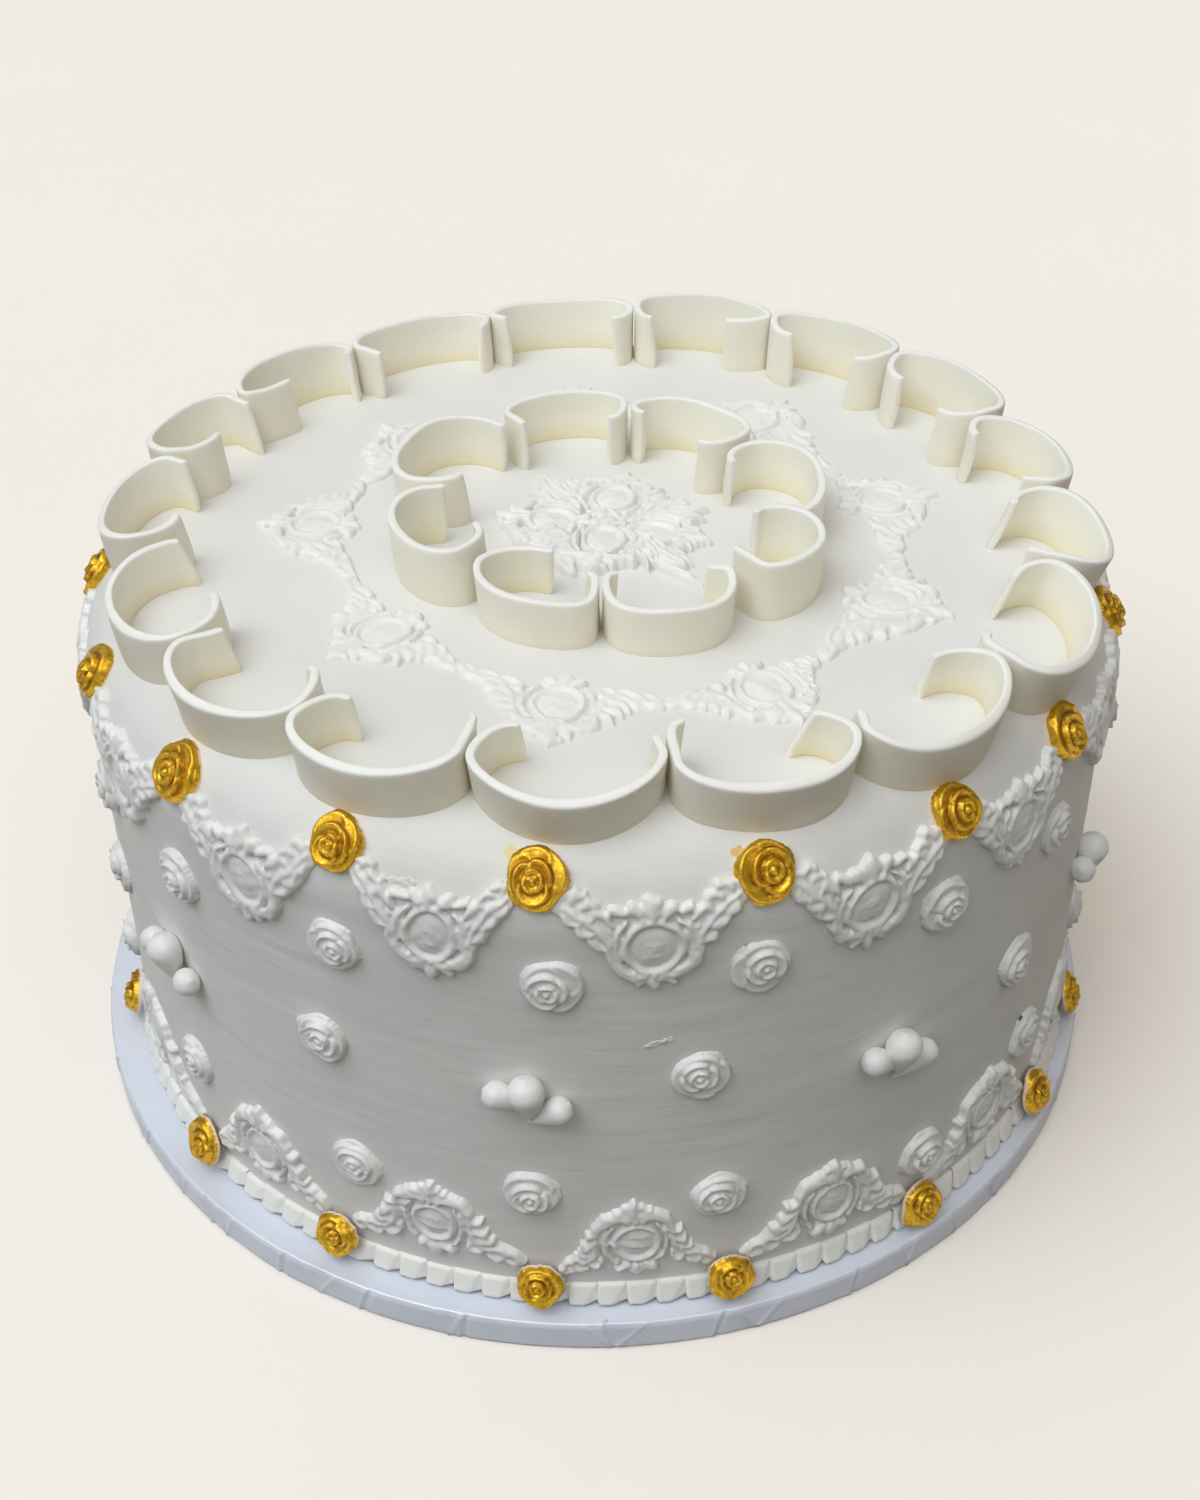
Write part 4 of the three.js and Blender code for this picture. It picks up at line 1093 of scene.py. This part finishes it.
def ring_of_ribbons(kind, notches, rows, centre, cuts):
    rng = random.Random(len(rows))
    for k, (start, row) in enumerate(zip(notches, rows)):
        stop = notches[k + 1] if k + 1 < len(notches) else notches[0] + 360
        middle, half = math.radians((start + stop) / 2), math.radians((stop - start) / 2)
        ribbon(f"{kind}_curl_{k + 1:02d}", f"{kind}_ribbon_{k + 1:02d}", middle, half, row, centre,
               cuts.get(k, (rng.uniform(-2, 3), rng.uniform(-2, 3))), 1200 + k + 50 * (kind == "inner"))


ring_of_ribbons("outer", OUTER_NOTCHES, OUTER_RIBBONS, OUTER_RING, OUTER_CUTS)
ring_of_ribbons("inner", INNER_NOTCHES, INNER_RIBBONS, INNER_RING, {})


# Floor, light and camera

def build_stage():
    mesh = bpy.data.meshes.new("floor")
    size = 14.0
    mesh.from_pydata([(-size, -size, 0), (size, -size, 0), (size, size, 0), (-size, size, 0)], [], [(0, 1, 2, 3)])
    floor = bpy.data.objects.new("floor", mesh)
    bpy.context.scene.collection.objects.link(floor)

    def floor_nodes(tree, s):
        colour = ramp(tree, noise(tree, 3, 2), [(0.3, (0.955, 0.905, 0.835)), (0.7, (0.965, 0.915, 0.845))])
        link(tree, colour, s.inputs["Base Color"])
        s.inputs["Roughness"].default_value = 0.9

    mesh.materials.append(material("floor", floor_nodes))
    floor.visible_diffuse = False

    # A pale sweep behind the floor, there for the camera alone
    profile = [(4.0, 0.001), (5.0, 0.03), (5.9, 0.2), (6.5, 0.6), (6.85, 1.2), (7.0, 2.0), (7.0, 9.0)]
    sides = 96
    mesh = bpy.data.meshes.new("backdrop")
    points = [(r * math.cos(2 * math.pi * j / sides), r * math.sin(2 * math.pi * j / sides), z)
              for r, z in profile for j in range(sides)]
    faces = [(i * sides + j, (i + 1) * sides + j, (i + 1) * sides + (j + 1) % sides, i * sides + (j + 1) % sides)
             for i in range(len(profile) - 1) for j in range(sides)]
    mesh.from_pydata(points, [], faces)
    mesh.polygons.foreach_set("use_smooth", [True] * len(mesh.polygons))
    backdrop = bpy.data.objects.new("backdrop", mesh)
    bpy.context.scene.collection.objects.link(backdrop)

    def backdrop_nodes(tree, s):
        colour = ramp(tree, noise(tree, 1.5, 2), [(0.3, (0.74, 0.71, 0.645)), (0.7, (0.75, 0.72, 0.655))])
        link(tree, colour, s.inputs["Base Color"])
        link(tree, colour, s.inputs["Emission Color"])
        # Its upright part gets less light than the floor does, and glows a little more
        place = node(tree, "ShaderNodeSeparateXYZ")
        link(tree, node(tree, "ShaderNodeTexCoord").outputs["Object"], place.inputs["Vector"])
        glow = node(tree, "ShaderNodeMapRange")
        link(tree, place.outputs["Z"], glow.inputs["Value"])
        glow.inputs["From Min"].default_value = 0.05
        glow.inputs["From Max"].default_value = 1.5
        glow.inputs["To Min"].default_value = 0.25
        glow.inputs["To Max"].default_value = 0.75
        link(tree, glow.outputs[0], s.inputs["Emission Strength"])
        s.inputs["Roughness"].default_value = 0.9

    mesh.materials.append(material("backdrop", backdrop_nodes))
    for ray in ("diffuse", "glossy", "transmission", "shadow"):
        setattr(backdrop, "visible_" + ray, False)

    world = bpy.data.worlds.new("studio")
    bpy.context.scene.world = world
    world.use_nodes = True
    tree = world.node_tree
    background = tree.nodes["Background"]
    coords = node(tree, "ShaderNodeTexCoord")
    split = node(tree, "ShaderNodeSeparateXYZ")
    link(tree, coords.outputs["Generated"], split.inputs["Vector"])
    sky = ramp(tree, split.outputs["Z"], [(0.0, (0.10, 0.10, 0.10)), (0.3, (0.34, 0.35, 0.36)),
                                          (0.75, (0.98, 0.99, 1.0)), (1.0, (1.0, 1.0, 1.0))])
    across = node(tree, "ShaderNodeMapRange")
    link(tree, split.outputs["X"], across.inputs["Value"])
    across.inputs["From Min"].default_value = -1
    tint = ramp(tree, across.outputs[0], [(0.2, (1.0, 1.0, 1.0)), (0.8, (0.62, 0.56, 0.47))])
    shade = node(tree, "ShaderNodeMix", data_type="RGBA", blend_type="MULTIPLY")
    shade.inputs[0].default_value = 1.0
    link(tree, sky, shade.inputs[6])
    link(tree, tint, shade.inputs[7])
    link(tree, shade.outputs[2], background.inputs["Color"])
    background.inputs["Strength"].default_value = 0.745

    def sun(name, energy, azimuth, elevation, angle, colour=(1, 1, 1)):
        data = bpy.data.lights.new(name, "SUN")
        data.energy = energy
        data.angle = math.radians(angle)
        data.color = colour
        lamp = bpy.data.objects.new(name, data)
        bpy.context.scene.collection.objects.link(lamp)
        # A sun shines along its own -Z: tip it down from overhead, then turn it round
        lamp.rotation_euler = (math.radians(90 - elevation), 0, math.radians(azimuth + 90))

    sun("key", 0.98, -150, 58, 45, (0.92, 0.98, 1.0))
    sun("front", 0.78, -98, 60, 60, (0.98, 0.99, 1.0))


def build_camera():
    data = bpy.data.cameras.new("camera")
    data.sensor_width = 36
    data.lens = 36 * 1962.58 / 1500
    data.clip_start = 0.01
    data.clip_end = 60
    camera = bpy.data.objects.new("camera", data)
    bpy.context.scene.collection.objects.link(camera)
    right = np.array([0.99993228, -0.00485533, -0.01057663])
    forward = np.array([-0.00232747, 0.80702211, -0.59051664])
    up = np.array([0.01140272, 0.59050126, 0.80695615])
    turn = Matrix(np.column_stack([right, up, -forward]).tolist()).to_4x4()
    camera.matrix_world = Matrix.Translation((0.006, -0.63093, 0.5718)) @ turn
    bpy.context.scene.camera = camera


build_stage()
build_camera()
bpy.context.scene.view_settings.view_transform = "Standard"
